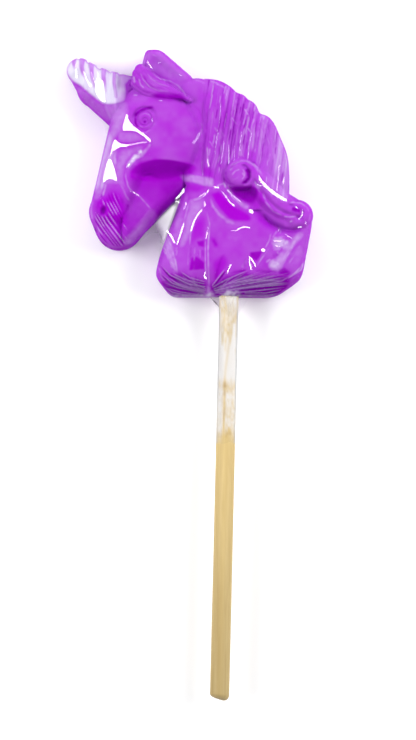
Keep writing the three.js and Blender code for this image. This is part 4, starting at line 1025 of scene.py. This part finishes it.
class Field:
    """a flat-backed relief: depth inside the plan outline and height over the plan"""

    def __init__(self, depth, height, back, edge):
        self.depth, self.height, self.back, self.edge = depth, height, back, edge
        gx, gy = np.gradient(height, STEP)
        self.slope = blur(1 / np.sqrt(1 + np.minimum(gx * gx + gy * gy, 9)), 1)

    def plan(self, x, y):
        return look(self.depth, x, y), look(self.height, x, y), look(self.slope, x, y)

    def at(self, flat, x, y, z):
        d, h, s = flat
        f = smin(d, (h - z) * s, 0.3)
        return rmin(f, z - self.back, self.edge)

    def __call__(self, p):
        return self.at(self.plan(p[:, 0], p[:, 1]), p[:, 0], p[:, 1], p[:, 2])


class Candy(Field):
    """the candy, with the blind bore that the stick stands in"""

    def at(self, flat, x, y, z):
        s, r = stick_frame(x, y, z)
        bore = np.maximum(r - STICK_R - 0.15, s - STICK_TOP - 0.3)
        return np.minimum(super().at(flat, x, y, z), bore)


class Wrap(Field):
    """the film, drawn in to the stick below the candy"""

    def at(self, flat, x, y, z):
        s, r = stick_frame(x, y, z)
        neck = np.minimum(STICK_R + 0.45 + 2.4 * ease((s + 5.0) / 6.0) - r, smin(s + 7.0, 6.0 - s, 0.5))
        return smax(super().at(flat, x, y, z), neck, 2.2)


def thinned(ob, free, most):
    """the piece with fewer triangles at its free points, so that it has no more than most of them"""
    count = sum(len(p.vertices) - 2 for p in ob.data.polygons)
    group = ob.vertex_groups.new(name="free")
    group.add([int(i) for i in np.nonzero(free)[0]], 1.0, "REPLACE")
    mod = ob.modifiers.new("thin", "DECIMATE")
    mod.ratio = min(1.0, most / count)
    mod.vertex_group = group.name
    mod.vertex_group_factor = 10.0
    deps = bpy.context.evaluated_depsgraph_get()
    me = bpy.data.meshes.new_from_object(ob.evaluated_get(deps), preserve_all_data_layers=True, depsgraph=deps)
    ob.modifiers.clear()
    ob.vertex_groups.clear()
    bm = bmesh.new()
    bm.from_mesh(me)
    bmesh.ops.dissolve_degenerate(bm, dist=1e-7, edges=bm.edges)
    bm.to_mesh(me)
    bm.free()
    me.name = ob.name
    ob.data = me
    return ob


def build(name, pts, faces, extra=None):
    """a smooth mesh from plan points in mm"""
    me = bpy.data.meshes.new(name)
    co = (pts + SHIFT) * 0.001
    n = faces.shape[1]
    me.vertices.add(len(co))
    me.vertices.foreach_set("co", co.astype(np.float32).ravel())
    me.loops.add(faces.size)
    me.loops.foreach_set("vertex_index", faces.astype(np.int32).ravel())
    me.polygons.add(len(faces))
    me.polygons.foreach_set("loop_start", np.arange(0, faces.size, n, dtype=np.int32))
    me.polygons.foreach_set("loop_total", np.full(len(faces), n, np.int32))
    me.update(calc_edges=True)
    me.validate()
    me.polygons.foreach_set("use_smooth", np.ones(len(me.polygons), bool))
    for key, data in (extra or {}).items():
        if data.ndim == 2:
            me.attributes.new(key, "FLOAT_VECTOR", "POINT").data.foreach_set("vector", data.astype(np.float32).ravel())
        else:
            me.attributes.new(key, "FLOAT", "POINT").data.foreach_set("value", data.astype(np.float32))
    ob = bpy.data.objects.new(name, me)
    bpy.context.scene.collection.objects.link(ob)
    return ob


def part_of(pts, faces, keep, extra):
    """the chosen faces with the points that they use"""
    f = faces[keep]
    used = np.unique(f)
    new = np.full(len(pts), -1, np.int64)
    new[used] = np.arange(len(used))
    return pts[used], new[f], {k: v[used] for k, v in extra.items()}


candy_pts, candy_faces = nets(Candy(DEPTH, H, 0.1, 1.5), (-52.0, -2.0, -0.6), (29.5, 80.0, 21.5), (0.27, 0.27, 0.40))
# the plan's pale and painted shade lie on the top; down the walls the top's pale and painted shade are carried a little
# way
lift = ease((candy_pts[:, 2] - look(H, candy_pts[:, 0], candy_pts[:, 1]) + 2.0) / 1.6)
steep = np.hypot(*np.gradient(H, STEP))
lift = lift * ease((4.4 - look(blur(np.minimum(steep, 6), 1), candy_pts[:, 0], candy_pts[:, 1])) / 2.0)
rim = ease((candy_pts[:, 2] - look(H, candy_pts[:, 0], candy_pts[:, 1]) + 4.0) / 3.6)
flat_back = ease((1.6 - candy_pts[:, 2]) / 1.2)
mottle = 0.08 + 0.05 * noise(candy_pts[:, 0] / 7.0, candy_pts[:, 1] / 7.0 + 3) + 0.025 * noise(candy_pts[:, 0] / 1.9 + 5, candy_pts[:, 1] / 1.9)
# film haze with a painted sheen on the walls, mottled on the flat back
haze = 0.07 + 0.03 * noise((candy_pts[:, 0] + candy_pts[:, 1]) / 3.2, candy_pts[:, 2] / 2.6) + 0.02 * noise((candy_pts[:, 0] - candy_pts[:, 1]) / 1.3, candy_pts[:, 2] / 4.0)
haze = haze * (1 - flat_back) + mottle * flat_back
candy = build("candy", candy_pts, candy_faces, {
    "pale": cl(look(HAZE_AND_HIGHLIGHT, candy_pts[:, 0], candy_pts[:, 1]) * lift + (haze + 0.9 * rim * np.maximum(look(blur(np.minimum(HAZE_AND_HIGHLIGHT, 0.5), 8), candy_pts[:, 0], candy_pts[:, 1]) - 0.08, 0)) * (1 - lift)),
    "deep": cl(look(PAINTED_SHADE, candy_pts[:, 0], candy_pts[:, 1]) * lift + 0.8 * rim * look(blur(PAINTED_SHADE, 9), candy_pts[:, 0], candy_pts[:, 1]) * (1 - lift))})
thinned(candy, candy_pts[:, 2] < look(H, candy_pts[:, 0], candy_pts[:, 1]) - 2.2, 190000)

wrap_pts, wrap_faces = nets(Wrap(FILM_DEPTH, FRONT, 0.0, 1.6), (-52.5, -9.0, -0.6), (30.0, 80.5, 22.5), (0.27, 0.27, 0.36))
s_w, r_w = stick_frame(wrap_pts[:, 0], wrap_pts[:, 1], wrap_pts[:, 2])
keep = ~((s_w[wrap_faces] < -6.2).any(axis=1))
front = (wrap_pts[:, 2][wrap_faces] > 1.2).all(axis=1)
qx, qy = wrap_pts[:, 0] / U + OX, OY - wrap_pts[:, 1] / U
# the film is scuffed and dull except in the glints and where it is drawn tight over the neck
taut = blur(ease((BODY - HEAD - 0.5) / 1.0) * ease((PY - 200 - 0.10 * np.abs(PX - 230)) / 14) * ease((272 - PY) / 10), 3)
over = ease((wrap_pts[:, 2] - look(FRONT, wrap_pts[:, 0], wrap_pts[:, 1]) + 2.4) / 1.6) * (wrap_pts[:, 2] > 2)
glint = cl(look(GLINT, wrap_pts[:, 0], wrap_pts[:, 1])) * over
wall = ease((0.5 - look(FILM_DEPTH, wrap_pts[:, 0], wrap_pts[:, 1])) / 0.4)
shine = 0.0015 + 0.003 * cl(look(taut, wrap_pts[:, 0], wrap_pts[:, 1])) * over + 0.03 * wall + 0.125 * cl(look(GLINT * SHINE, wrap_pts[:, 0], wrap_pts[:, 1])) * over
tilt = np.stack([look(FACE[k], wrap_pts[:, 0], wrap_pts[:, 1]) for k in range(3)], axis=1)
# between jaw and neck it spans open air
gap = blur(ease((-DEPTH - 0.1) / 0.3) * (FILM_DEPTH > 0), 2)
throat = blur(inside([(186, 186), (170, 201), (156, 215), (158, 236), (166, 246), (180, 206), (188, 190)]), 3)
shade = blur(inside([(171, 201), (174, 199.6), (179, 199), (178, 205.4), (173.6, 207)]), 2)
web = cl(look(gap * throat * (0.80 - 0.55 * shade), wrap_pts[:, 0], wrap_pts[:, 1])) * (0.25 + 0.75 * over) * (wrap_pts[:, 2] > 2)
from_axis = np.abs(wrap_pts[:, 0] * math.cos(LEAN) - wrap_pts[:, 1] * math.sin(LEAN)) / STICK_R
bunch = ease((s_w + 3.0) / 2.0) * ease((0.6 - s_w) / 1.0) * (wrap_pts[:, 2] > 8) * ease((1.25 - from_axis) / 0.4)
web = np.maximum(web, bunch * cl(0.34 + 0.5 * noise(qx / 3.1, qy / 6)))
front_pts, front_faces, front_look = part_of(wrap_pts, wrap_faces, keep & front, {"shine": shine, "glint": glint, "web": web, "tilt": tilt})
film_front = build("film_front", front_pts, front_faces, front_look)
thinned(film_front, (front_pts[:, 2] > 1.6) & (look(FILM_DEPTH, front_pts[:, 0], front_pts[:, 1]) < 0.08), 190000)
# the flat back has long soft creases that draw together to the stick
turn = np.arctan2(wrap_pts[:, 0], wrap_pts[:, 1] + 9.0)
reach = np.hypot(wrap_pts[:, 0], wrap_pts[:, 1] + 9.0)
crease = np.maximum(ease((noise(turn * 9 + 4, reach / 60) - 0.20) / 0.12) * ease((0.34 - noise(turn * 9 + 4, reach / 60)) / 0.10), 0)
crease = crease * ease((46 - reach + 14 * noise(turn * 5, reach / 30)) / 22) * ease((reach - 9) / 5)
scuff = ease((noise(wrap_pts[:, 0] / 9 + 2, wrap_pts[:, 1] / 14) - 0.15) / 0.3)
film_back = build("film_back", *part_of(wrap_pts, wrap_faces, keep & ~front, {"shine": 0.02 + 0.05 * scuff + 0.16 * crease, "glint": 0.5 * crease, "web": 0.10 * crease, "tilt": np.zeros(tilt.shape) + np.array([0.0, 0.0, -1.0])}))


# ------------------------------------------------------------------ turned pieces on the stick's axis
def turned(rows, sides, closed_ends):
    """points of a tube: rows of (way along, radius at each side)"""
    th = np.arange(sides) / sides * 2 * math.pi
    pts = []
    for s, r in rows:
        u = r * np.cos(th)
        pts.append(np.stack([s * math.sin(LEAN) + u * math.cos(LEAN), s * math.cos(LEAN) - u * math.sin(LEAN), STICK_RISE + r * np.sin(th)], axis=1))
    pts = np.concatenate(pts)
    i, j = np.meshgrid(np.arange(len(rows) - 1), np.arange(sides), indexing="ij")
    k = (j + 1) % sides
    faces = np.stack([i * sides + j, (i + 1) * sides + j, (i + 1) * sides + k, i * sides + k], axis=-1).reshape(-1, 4)
    return pts, faces


SIDES = 96
ang = np.arange(SIDES) / SIDES * 2 * math.pi
rows = []
for s in np.concatenate([STICK_LOW + 1.6 * np.linspace(0, 1, 9) ** 1.6, np.linspace(STICK_LOW + 1.9, STICK_TOP - 1.9, 170), STICK_TOP - 1.6 * np.linspace(0, 1, 9)[::-1] ** 1.6]):
    end = min(s - STICK_LOW, STICK_TOP - s)
    r = STICK_R - 1.5 * (1 - float(q(end / 1.6)))
    wob = 0.035 * noise(ang * 3 + 11, np.full(SIDES, s / 14.0)) + 0.02 * noise(np.cos(ang) * 9, np.sin(ang) * 9 + s / 40)
    slant = 0.5 * np.cos(ang - 2.6) * (1 - ease(end / 2.5)) if s < 0 else 0
    rows.append((s, r + wob + 0 * ang - 0.02, slant))
pts, faces = turned([(r[0], r[1]) for r in rows], SIDES, True)
slants = np.concatenate([np.zeros(SIDES) + r[2] for r in rows])
pts[:, 1] += np.where(pts[:, 1] < -100, slants, 0)
for first, last in ((True, False), (False, True)):
    ring = np.arange(SIDES) if first else np.arange(len(pts) - SIDES, len(pts))
    mid = pts[ring].mean(axis=0)
    pts = np.vstack([pts, mid])
    c = len(pts) - 1
    for a in range(0, SIDES, 2):
        quad = [ring[a], ring[(a + 1) % SIDES], ring[(a + 2) % SIDES], c]
        faces = np.vstack([faces, quad if not first else quad[::-1]])
# under the gathered film the wood is painted white for the film's haze, with painted highlight streaks, painted shade
# down its grey sides, and a brownish line along its top
s_v, r_v = stick_frame(pts[:, 0], pts[:, 1], pts[:, 2])
across = (pts[:, 0] * math.cos(LEAN) - pts[:, 1] * math.sin(LEAN)) / STICK_R
down = -s_v / U
wrapped = (s_v < 2) & (s_v > SLEEVE_END)
mottle = noise(across * 3 + 2, down / 7) * 0.6 + noise(across * 7, down / 3 + 5) * 0.4
streak = noise(across * 4 + 8, down / 26)
ragged = 9 * noise(across * 5 + 1, down / 9) + 8 * streak
white = ease((down - 28 - 1.4 * ragged) / 16) * ease((92 - down + 0.4 * ragged) / 12)
bare = bell((across - 0.16 + 0.40 * ease((down - 34) / 50)) / 0.15)
pale_wood = 0.94 * white * (1 - 0.38 * bare * ease((down - 30) / 10)) * (0.95 + 0.05 * mottle)
# painted highlight streaks down the stick's right side and over its top end where the film gathers
pale_wood = np.maximum(pale_wood, 0.95 * bell((across - 0.62) / 0.24) * (ease((12 - down) / 6) + ease((down - 22) / 6) * ease((70 - down) / 10)))
pale_wood = np.maximum(pale_wood, 0.60 * ease((down - 84) / 12) * ease((138 - down - 9 * mottle) / 10) * (1 - 0.8 * bare) * (0.98 + 0.5 * mottle + 0.4 * noise(across * 9, down / 2.1)))
pale_wood = np.maximum(pale_wood, 0.52 * (down > -12) * ease((40 - down) / 10) * (0.85 + 0.9 * mottle + 0.3 * noise(across * 8 + 3, down / 3)))
brown = 0.55 * bare * ease((down - 80) / 6) * ease((130 - down) / 14) * ease(0.7 + 1.2 * noise(across * 2, down / 4))
brown = np.maximum(brown, 0.7 * bell((down - 88) / 3.2) * bell((across + 0.2) / 0.2))
brown = np.maximum(brown, 0.30 * bell((down - 135 - 5 * mottle) / 2.6) * ease(0.6 + mottle))
# painted shade down the stick's sides, more on the left
grey = ease((np.abs(across) - 0.74) / 0.18) * ease((down - 8) / 8) * (0.9 - 0.3 * ease((down - 90) / 20))
grey = np.maximum(grey, 0.42 * ease((-across - 0.30) / 0.25) * ease((down - 18) / 14) * ease((150 - down) / 20))
stick = build("stick_dowel", pts, faces, {k: np.where(wrapped, v, 0) for k, v in (("pale", pale_wood), ("deep", brown), ("grey", grey))})

# film gathered on the stick: it winds once round with soft lengthwise folds
rows = []
SLEEVE_SIDES = 144
ang = np.arange(SLEEVE_SIDES) / SLEEVE_SIDES * 2 * math.pi
for s in np.linspace(SLEEVE_END, -1.5, 180):
    t = (s - SLEEVE_END) / (-1.5 - SLEEVE_END)
    fold = noise(np.cos(ang) * 4.2 + s * 0.012, np.sin(ang) * 4.2 + s * 0.05 + 7) * 0.16
    fine = noise(np.cos(ang) * 11 + 3, np.sin(ang) * 11 + s * 0.22) * 0.06
    lap = 0.16 * bell((ang - 1.75 - 0.1 * math.sin(s * 0.3)) / 0.10)
    grip = 1 - 0.55 * ease((0.22 - t) / 0.2)
    rows.append((s, STICK_R + 0.33 + (fold + fine) * grip + lap * grip))
pts, faces = turned(rows, SLEEVE_SIDES, False)
pts[:SLEEVE_SIDES, 1] += 0.5 * noise(np.cos(ang) * 3, np.sin(ang) * 3 + 4)
none = np.zeros(len(pts))
film_sleeve = build("film_gathered", pts, faces, {"shine": none + 0.03, "glint": none + 0.3, "web": none, "tilt": np.stack([none, none, none + 1], axis=1)})

# a flap of film spreads from the stick to the candy's foot
FLAP = [(206.5, 293.5), (222.5, 295.5), (220.4, 309.0)]
n = 16
i, j = [v.ravel() for v in np.meshgrid(np.arange(n + 1), np.arange(n + 1), indexing="ij")]
u, v = 0.06 + 0.94 * i / n, j / n
corner = [np.array(P(c)) for c in FLAP]
flat = corner[0][None] * (1 - u)[:, None] + (corner[1][None] * (1 - v)[:, None] + corner[2][None] * v[:, None]) * u[:, None]
fold = 0.25 * np.sin(u * 9 + v * 4) * u * (1 - u) * 4
pts = np.column_stack([flat, 7.6 + 1.4 * (1 - v) * u + fold])
a, b = [w.ravel() for w in np.meshgrid(np.arange(n), np.arange(n), indexing="ij")]
faces = np.stack([a * (n + 1) + b, a * (n + 1) + b + 1, (a + 1) * (n + 1) + b + 1, (a + 1) * (n + 1) + b], axis=1)
none = np.zeros(len(pts))
# hem: a dark painted shade line along the flap's creased edge and across its middle
hem = np.maximum(bell((v - 1) / 0.28) * (0.35 + 0.65 * bell((u - 0.6) / 0.2)), bell((v - 0.45) / 0.08) * 0.5)
film_flap = build("film_flap", pts, faces, {"fold": cl(0.50 + 0.50 * hem), "hem": cl(1.2 * hem * hem)})


# ------------------------------------------------------------------ materials
def material(name):
    m = bpy.data.materials.new(name)
    m.use_nodes = True
    nt = m.node_tree
    for n in list(nt.nodes):
        nt.nodes.remove(n)
    out = nt.nodes.new("ShaderNodeOutputMaterial")
    return m, nt, out


def node(nt, kind, **sets):
    n = nt.nodes.new(kind)
    for k, v in sets.items():
        if k in n.inputs:
            n.inputs[k].default_value = v
        else:
            setattr(n, k, v)
    return n


def candy_material():
    m, nt, out = material("purple_candy")
    b = node(nt, "ShaderNodeBsdfPrincipled", **{"Roughness": 0.3, "Specular IOR Level": 0.0, "IOR": 1.5})
    tc = node(nt, "ShaderNodeTexCoord")
    big = node(nt, "ShaderNodeTexNoise", **{"Scale": 60.0, "Detail": 3.0, "Roughness": 0.55})
    ramp = node(nt, "ShaderNodeValToRGB")
    ramp.color_ramp.elements[0].position, ramp.color_ramp.elements[0].color = 0.3, (0.300, 0.0010, 0.475, 1)
    ramp.color_ramp.elements[1].position, ramp.color_ramp.elements[1].color = 0.72, (0.328, 0.0014, 0.517, 1)
    # deep mixes in a darker purple as painted shade; pale mixes in a milky white for the film's haze and for painted
    # reflections and highlights
    deep = node(nt, "ShaderNodeAttribute", attribute_name="deep")
    pale = node(nt, "ShaderNodeAttribute", attribute_name="pale")
    sink = node(nt, "ShaderNodeMix", data_type="RGBA")
    sink.inputs[7].default_value = (0.124, 0.0004, 0.222, 1)
    haze_and_highlight = node(nt, "ShaderNodeMix", data_type="RGBA")
    haze_and_highlight.inputs[7].default_value = (0.680, 0.690, 0.760, 1)
    fine = node(nt, "ShaderNodeTexNoise", **{"Scale": 700.0, "Detail": 2.0})
    bump = node(nt, "ShaderNodeBump", **{"Strength": 0.06, "Distance": 0.0003})
    rr = node(nt, "ShaderNodeMapRange", **{"From Min": 0.3, "From Max": 0.7, "To Min": 0.24, "To Max": 0.38})
    nt.links.new(tc.outputs["Object"], big.inputs["Vector"])
    nt.links.new(tc.outputs["Object"], fine.inputs["Vector"])
    nt.links.new(big.outputs["Fac"], ramp.inputs["Fac"])
    nt.links.new(deep.outputs["Fac"], sink.inputs[0])
    nt.links.new(ramp.outputs["Color"], sink.inputs[6])
    nt.links.new(pale.outputs["Fac"], haze_and_highlight.inputs[0])
    nt.links.new(sink.outputs[2], haze_and_highlight.inputs[6])
    nt.links.new(haze_and_highlight.outputs[2], b.inputs["Base Color"])
    nt.links.new(fine.outputs["Fac"], bump.inputs["Height"])
    nt.links.new(bump.outputs["Normal"], b.inputs["Normal"])
    nt.links.new(big.outputs["Fac"], rr.inputs["Value"])
    nt.links.new(rr.outputs["Result"], b.inputs["Roughness"])
    nt.links.new(b.outputs["BSDF"], out.inputs["Surface"])
    return m


def film_material(name):
    m, nt, out = material(name)
    L = nt.links.new
    shine, glint, web, tilt = (node(nt, "ShaderNodeAttribute", attribute_name=k) for k in ("shine", "glint", "web", "tilt"))
    clear = node(nt, "ShaderNodeBsdfTransparent", **{"Color": (0.985, 0.985, 0.985, 1)})
    gloss = node(nt, "ShaderNodeBsdfGlossy", **{"Color": (1, 1, 1, 1)})
    rough = node(nt, "ShaderNodeMapRange", **{"To Min": 0.42, "To Max": 0.07})
    L(glint.outputs["Fac"], rough.inputs["Value"])
    L(rough.outputs["Result"], gloss.inputs["Roughness"])
    # the film faces its light in a glint and follows the wrapping elsewhere
    tc = node(nt, "ShaderNodeTexCoord")
    crinkle = node(nt, "ShaderNodeTexNoise", **{"Scale": 420.0, "Detail": 3.0, "Roughness": 0.6})
    bump = node(nt, "ShaderNodeBump", **{"Strength": 0.05, "Distance": 0.0004})
    turn = node(nt, "ShaderNodeVectorTransform", vector_type="NORMAL", convert_from="OBJECT", convert_to="WORLD")
    way = node(nt, "ShaderNodeMix", data_type="VECTOR")
    unit = node(nt, "ShaderNodeVectorMath", operation="NORMALIZE")
    L(tc.outputs["Object"], crinkle.inputs["Vector"])
    L(crinkle.outputs["Fac"], bump.inputs["Height"])
    L(tilt.outputs["Vector"], turn.inputs["Vector"])
    L(glint.outputs["Fac"], way.inputs[0])
    L(bump.outputs["Normal"], way.inputs[4])
    L(turn.outputs["Vector"], way.inputs[5])
    L(way.outputs[1], unit.inputs[0])
    L(unit.outputs["Vector"], gloss.inputs["Normal"])
    # less sheen on the steep sides, where the film lies creased on the candy's wall
    lw = node(nt, "ShaderNodeLayerWeight", Blend=0.5)
    side = node(nt, "ShaderNodeMapRange", **{"From Min": 0.15, "From Max": 0.6, "To Min": 1.0, "To Max": 0.15})
    keep = node(nt, "ShaderNodeMath", operation="MAXIMUM")
    L(lw.outputs["Facing"], side.inputs["Value"])
    L(side.outputs["Result"], keep.inputs[0])
    L(glint.outputs["Fac"], keep.inputs[1])
    amount = node(nt, "ShaderNodeMath", operation="MULTIPLY")
    L(shine.outputs["Fac"], amount.inputs[0])
    L(keep.outputs[0], amount.inputs[1])
    # crumpled white where it spans open air
    crumple = node(nt, "ShaderNodeBsdfDiffuse", **{"Color": (0.80, 0.79, 0.82, 1)})
    body = node(nt, "ShaderNodeMixShader")
    L(web.outputs["Fac"], body.inputs["Fac"])
    L(clear.outputs[0], body.inputs[1])
    L(crumple.outputs[0], body.inputs[2])
    mix = node(nt, "ShaderNodeMixShader")
    L(amount.outputs[0], mix.inputs["Fac"])
    L(body.outputs[0], mix.inputs[1])
    L(gloss.outputs[0], mix.inputs[2])
    L(mix.outputs[0], out.inputs["Surface"])
    return m


def fold_material():
    """film lying double, grey, with a dark painted shade line along its creased edge"""
    m, nt, out = material("folded_film")
    fold = node(nt, "ShaderNodeAttribute", attribute_name="fold")
    clear = node(nt, "ShaderNodeBsdfTransparent", **{"Color": (0.98, 0.98, 0.98, 1)})
    hem = node(nt, "ShaderNodeAttribute", attribute_name="hem")
    tone = node(nt, "ShaderNodeMix", data_type="RGBA")
    tone.inputs[6].default_value = (0.50, 0.45, 0.52, 1)
    tone.inputs[7].default_value = (0.05, 0.03, 0.06, 1)
    dull = node(nt, "ShaderNodeBsdfDiffuse")
    nt.links.new(hem.outputs["Fac"], tone.inputs[0])
    nt.links.new(tone.outputs[2], dull.inputs["Color"])
    mix = node(nt, "ShaderNodeMixShader")
    nt.links.new(fold.outputs["Fac"], mix.inputs["Fac"])
    nt.links.new(clear.outputs[0], mix.inputs[1])
    nt.links.new(dull.outputs[0], mix.inputs[2])
    nt.links.new(mix.outputs[0], out.inputs["Surface"])
    return m


def wood_material():
    m, nt, out = material("pale_wood")
    b = node(nt, "ShaderNodeBsdfPrincipled", **{"Roughness": 0.55, "Specular IOR Level": 0.3})
    tc = node(nt, "ShaderNodeTexCoord")
    grain_map = node(nt, "ShaderNodeMapping")
    grain_map.inputs["Scale"].default_value = (1.0, 0.045, 1.0)
    grain = node(nt, "ShaderNodeTexNoise", **{"Scale": 900.0, "Detail": 5.0, "Roughness": 0.65, "Distortion": 0.3})
    broad_map = node(nt, "ShaderNodeMapping")
    broad_map.inputs["Scale"].default_value = (1.0, 0.10, 1.0)
    broad = node(nt, "ShaderNodeTexNoise", **{"Scale": 160.0, "Detail": 3.0})
    ramp = node(nt, "ShaderNodeValToRGB")
    ramp.color_ramp.elements[0].position, ramp.color_ramp.elements[0].color = 0.25, (0.40, 0.272, 0.094, 1)
    ramp.color_ramp.elements[1].position, ramp.color_ramp.elements[1].color = 0.72, (0.585, 0.445, 0.200, 1)
    sep = node(nt, "ShaderNodeSeparateXYZ")
    fall = node(nt, "ShaderNodeMapRange", **{"From Min": -0.1, "From Max": -0.02, "To Min": 0.80, "To Max": 1.12})
    mixc = node(nt, "ShaderNodeMix", data_type="RGBA", blend_type="MULTIPLY")
    mixc.inputs[0].default_value = 1.0
    add = node(nt, "ShaderNodeMath", operation="MULTIPLY_ADD")
    add.inputs[1].default_value = 0.55
    half = node(nt, "ShaderNodeMath", operation="MULTIPLY")
    half.inputs[1].default_value = 0.45
    bump = node(nt, "ShaderNodeBump", **{"Strength": 0.25, "Distance": 0.00025})
    L = nt.links.new
    L(tc.outputs["Object"], grain_map.inputs["Vector"])
    L(grain_map.outputs["Vector"], grain.inputs["Vector"])
    L(tc.outputs["Object"], broad_map.inputs["Vector"])
    L(broad_map.outputs["Vector"], broad.inputs["Vector"])
    L(broad.outputs["Fac"], half.inputs[0])
    L(grain.outputs["Fac"], add.inputs[0])
    L(half.outputs[0], add.inputs[2])
    L(add.outputs[0], ramp.inputs["Fac"])
    L(tc.outputs["Object"], sep.inputs["Vector"])
    L(sep.outputs["Y"], fall.inputs["Value"])
    L(ramp.outputs["Color"], mixc.inputs[6])
    L(fall.outputs["Result"], mixc.inputs[7])
    # deep mixes in the brown line; pale mixes in the film's haze with painted highlights; grey mixes in painted shade
    # on the stick's sides
    deep = node(nt, "ShaderNodeAttribute", attribute_name="deep")
    pale = node(nt, "ShaderNodeAttribute", attribute_name="pale")
    sink = node(nt, "ShaderNodeMix", data_type="RGBA")
    sink.inputs[7].default_value = (0.33, 0.20, 0.08, 1)
    haze_and_highlight = node(nt, "ShaderNodeMix", data_type="RGBA")
    haze_and_highlight.inputs[7].default_value = (0.68, 0.67, 0.665, 1)
    grey = node(nt, "ShaderNodeAttribute", attribute_name="grey")
    dim = node(nt, "ShaderNodeMix", data_type="RGBA")
    dim.inputs[7].default_value = (0.42, 0.415, 0.42, 1)
    L(deep.outputs["Fac"], sink.inputs[0])
    L(mixc.outputs[2], sink.inputs[6])
    L(pale.outputs["Fac"], haze_and_highlight.inputs[0])
    L(sink.outputs[2], haze_and_highlight.inputs[6])
    L(grey.outputs["Fac"], dim.inputs[0])
    L(haze_and_highlight.outputs[2], dim.inputs[6])
    L(dim.outputs[2], b.inputs["Base Color"])
    L(grain.outputs["Fac"], bump.inputs["Height"])
    L(bump.outputs["Normal"], b.inputs["Normal"])
    L(b.outputs["BSDF"], out.inputs["Surface"])
    return m


candy.data.materials.append(candy_material())
film = film_material("clear_film")
for ob in (film_front, film_back, film_sleeve):
    ob.data.materials.append(film)
film_flap.data.materials.append(fold_material())
stick.data.materials.append(wood_material())

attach(candy, "root")
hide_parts("wrapped_candy")
for ob, nodes in ((film_front, ("wrapped_candy",)), (film_back, ("wrapped_candy",)), (film_sleeve, ("film_sleeve",)), (film_flap, ("film_sleeve",))):
    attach(ob, "root")
    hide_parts(*nodes)
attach(stick, "root")
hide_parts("stick")

# ------------------------------------------------------------------ floor, light and camera
floor_mesh = bpy.data.meshes.new("floor")
floor_mesh.from_pydata([(-4, -4, -0.0004), (4, -4, -0.0004), (4, 4, -0.0004), (-4, 4, -0.0004)], [], [(0, 1, 2, 3)])
floor = bpy.data.objects.new("floor", floor_mesh)
bpy.context.scene.collection.objects.link(floor)
fm, nt, out = material("pale_floor")
fb = node(nt, "ShaderNodeBsdfPrincipled", **{"Base Color": (0.88, 0.88, 0.885, 1), "Roughness": 0.8, "Specular IOR Level": 0.1,
                                                "Emission Color": (1, 1, 1, 1), "Emission Strength": 0.13})
nt.links.new(fb.outputs["BSDF"], out.inputs["Surface"])
floor_mesh.materials.append(fm)

aim = Vector((0.0, 0.05, 0.01))
for name, (az, ze, dist, w, h, radiance) in LIGHTS.items():
    a, z = math.radians(az), math.radians(ze)
    light = bpy.data.lights.new(name, "AREA")
    light.shape, light.size, light.size_y = "RECTANGLE", w, h
    light.energy = radiance * math.pi * w * h
    ob = bpy.data.objects.new(name, light)
    ob.location = aim + dist * Vector((math.sin(z) * math.cos(a), math.sin(z) * math.sin(a), math.cos(z)))
    ob.rotation_euler = (aim - ob.location).to_track_quat("-Z", "Y").to_euler()
    bpy.context.scene.collection.objects.link(ob)

world = bpy.data.worlds.new("studio")
bpy.context.scene.world = world
world.use_nodes = True
wn = world.node_tree
for n in list(wn.nodes):
    wn.nodes.remove(n)
wo = wn.nodes.new("ShaderNodeOutputWorld")
bg = wn.nodes.new("ShaderNodeBackground")
wt = wn.nodes.new("ShaderNodeTexCoord")
ws = wn.nodes.new("ShaderNodeSeparateXYZ")
wr = wn.nodes.new("ShaderNodeValToRGB")
wr.color_ramp.elements[0].position, wr.color_ramp.elements[0].color = 0.0, (0.75, 0.75, 0.76, 1)
wr.color_ramp.elements[1].position, wr.color_ramp.elements[1].color = 0.95, (0.22, 0.22, 0.23, 1)
wn.links.new(wt.outputs["Generated"], ws.inputs["Vector"])
wn.links.new(ws.outputs["Z"], wr.inputs["Fac"])
wn.links.new(wr.outputs["Color"], bg.inputs["Color"])
wn.links.new(bg.outputs["Background"], wo.inputs["Surface"])

scene = bpy.context.scene
scene.view_settings.view_transform = "Standard"
FRAME_H = 740 * U * 0.001
DISTANCE = 2.5
cam_data = bpy.data.cameras.new("camera")
cam_data.sensor_fit = "VERTICAL"
cam_data.sensor_height = 24.0
cam_data.lens = 24.0 * DISTANCE / FRAME_H
cam_data.clip_end = 20
cam = bpy.data.objects.new("camera", cam_data)
centre = P((208, 370))
cam.location = ((centre[0] + SHIFT[0]) * 0.001, (centre[1] + SHIFT[1]) * 0.001, DISTANCE + STICK_RISE * 0.001)
cam.rotation_euler = (0, 0, 0)
scene.collection.objects.link(cam)
scene.camera = cam

bpy.context.view_layer.update()
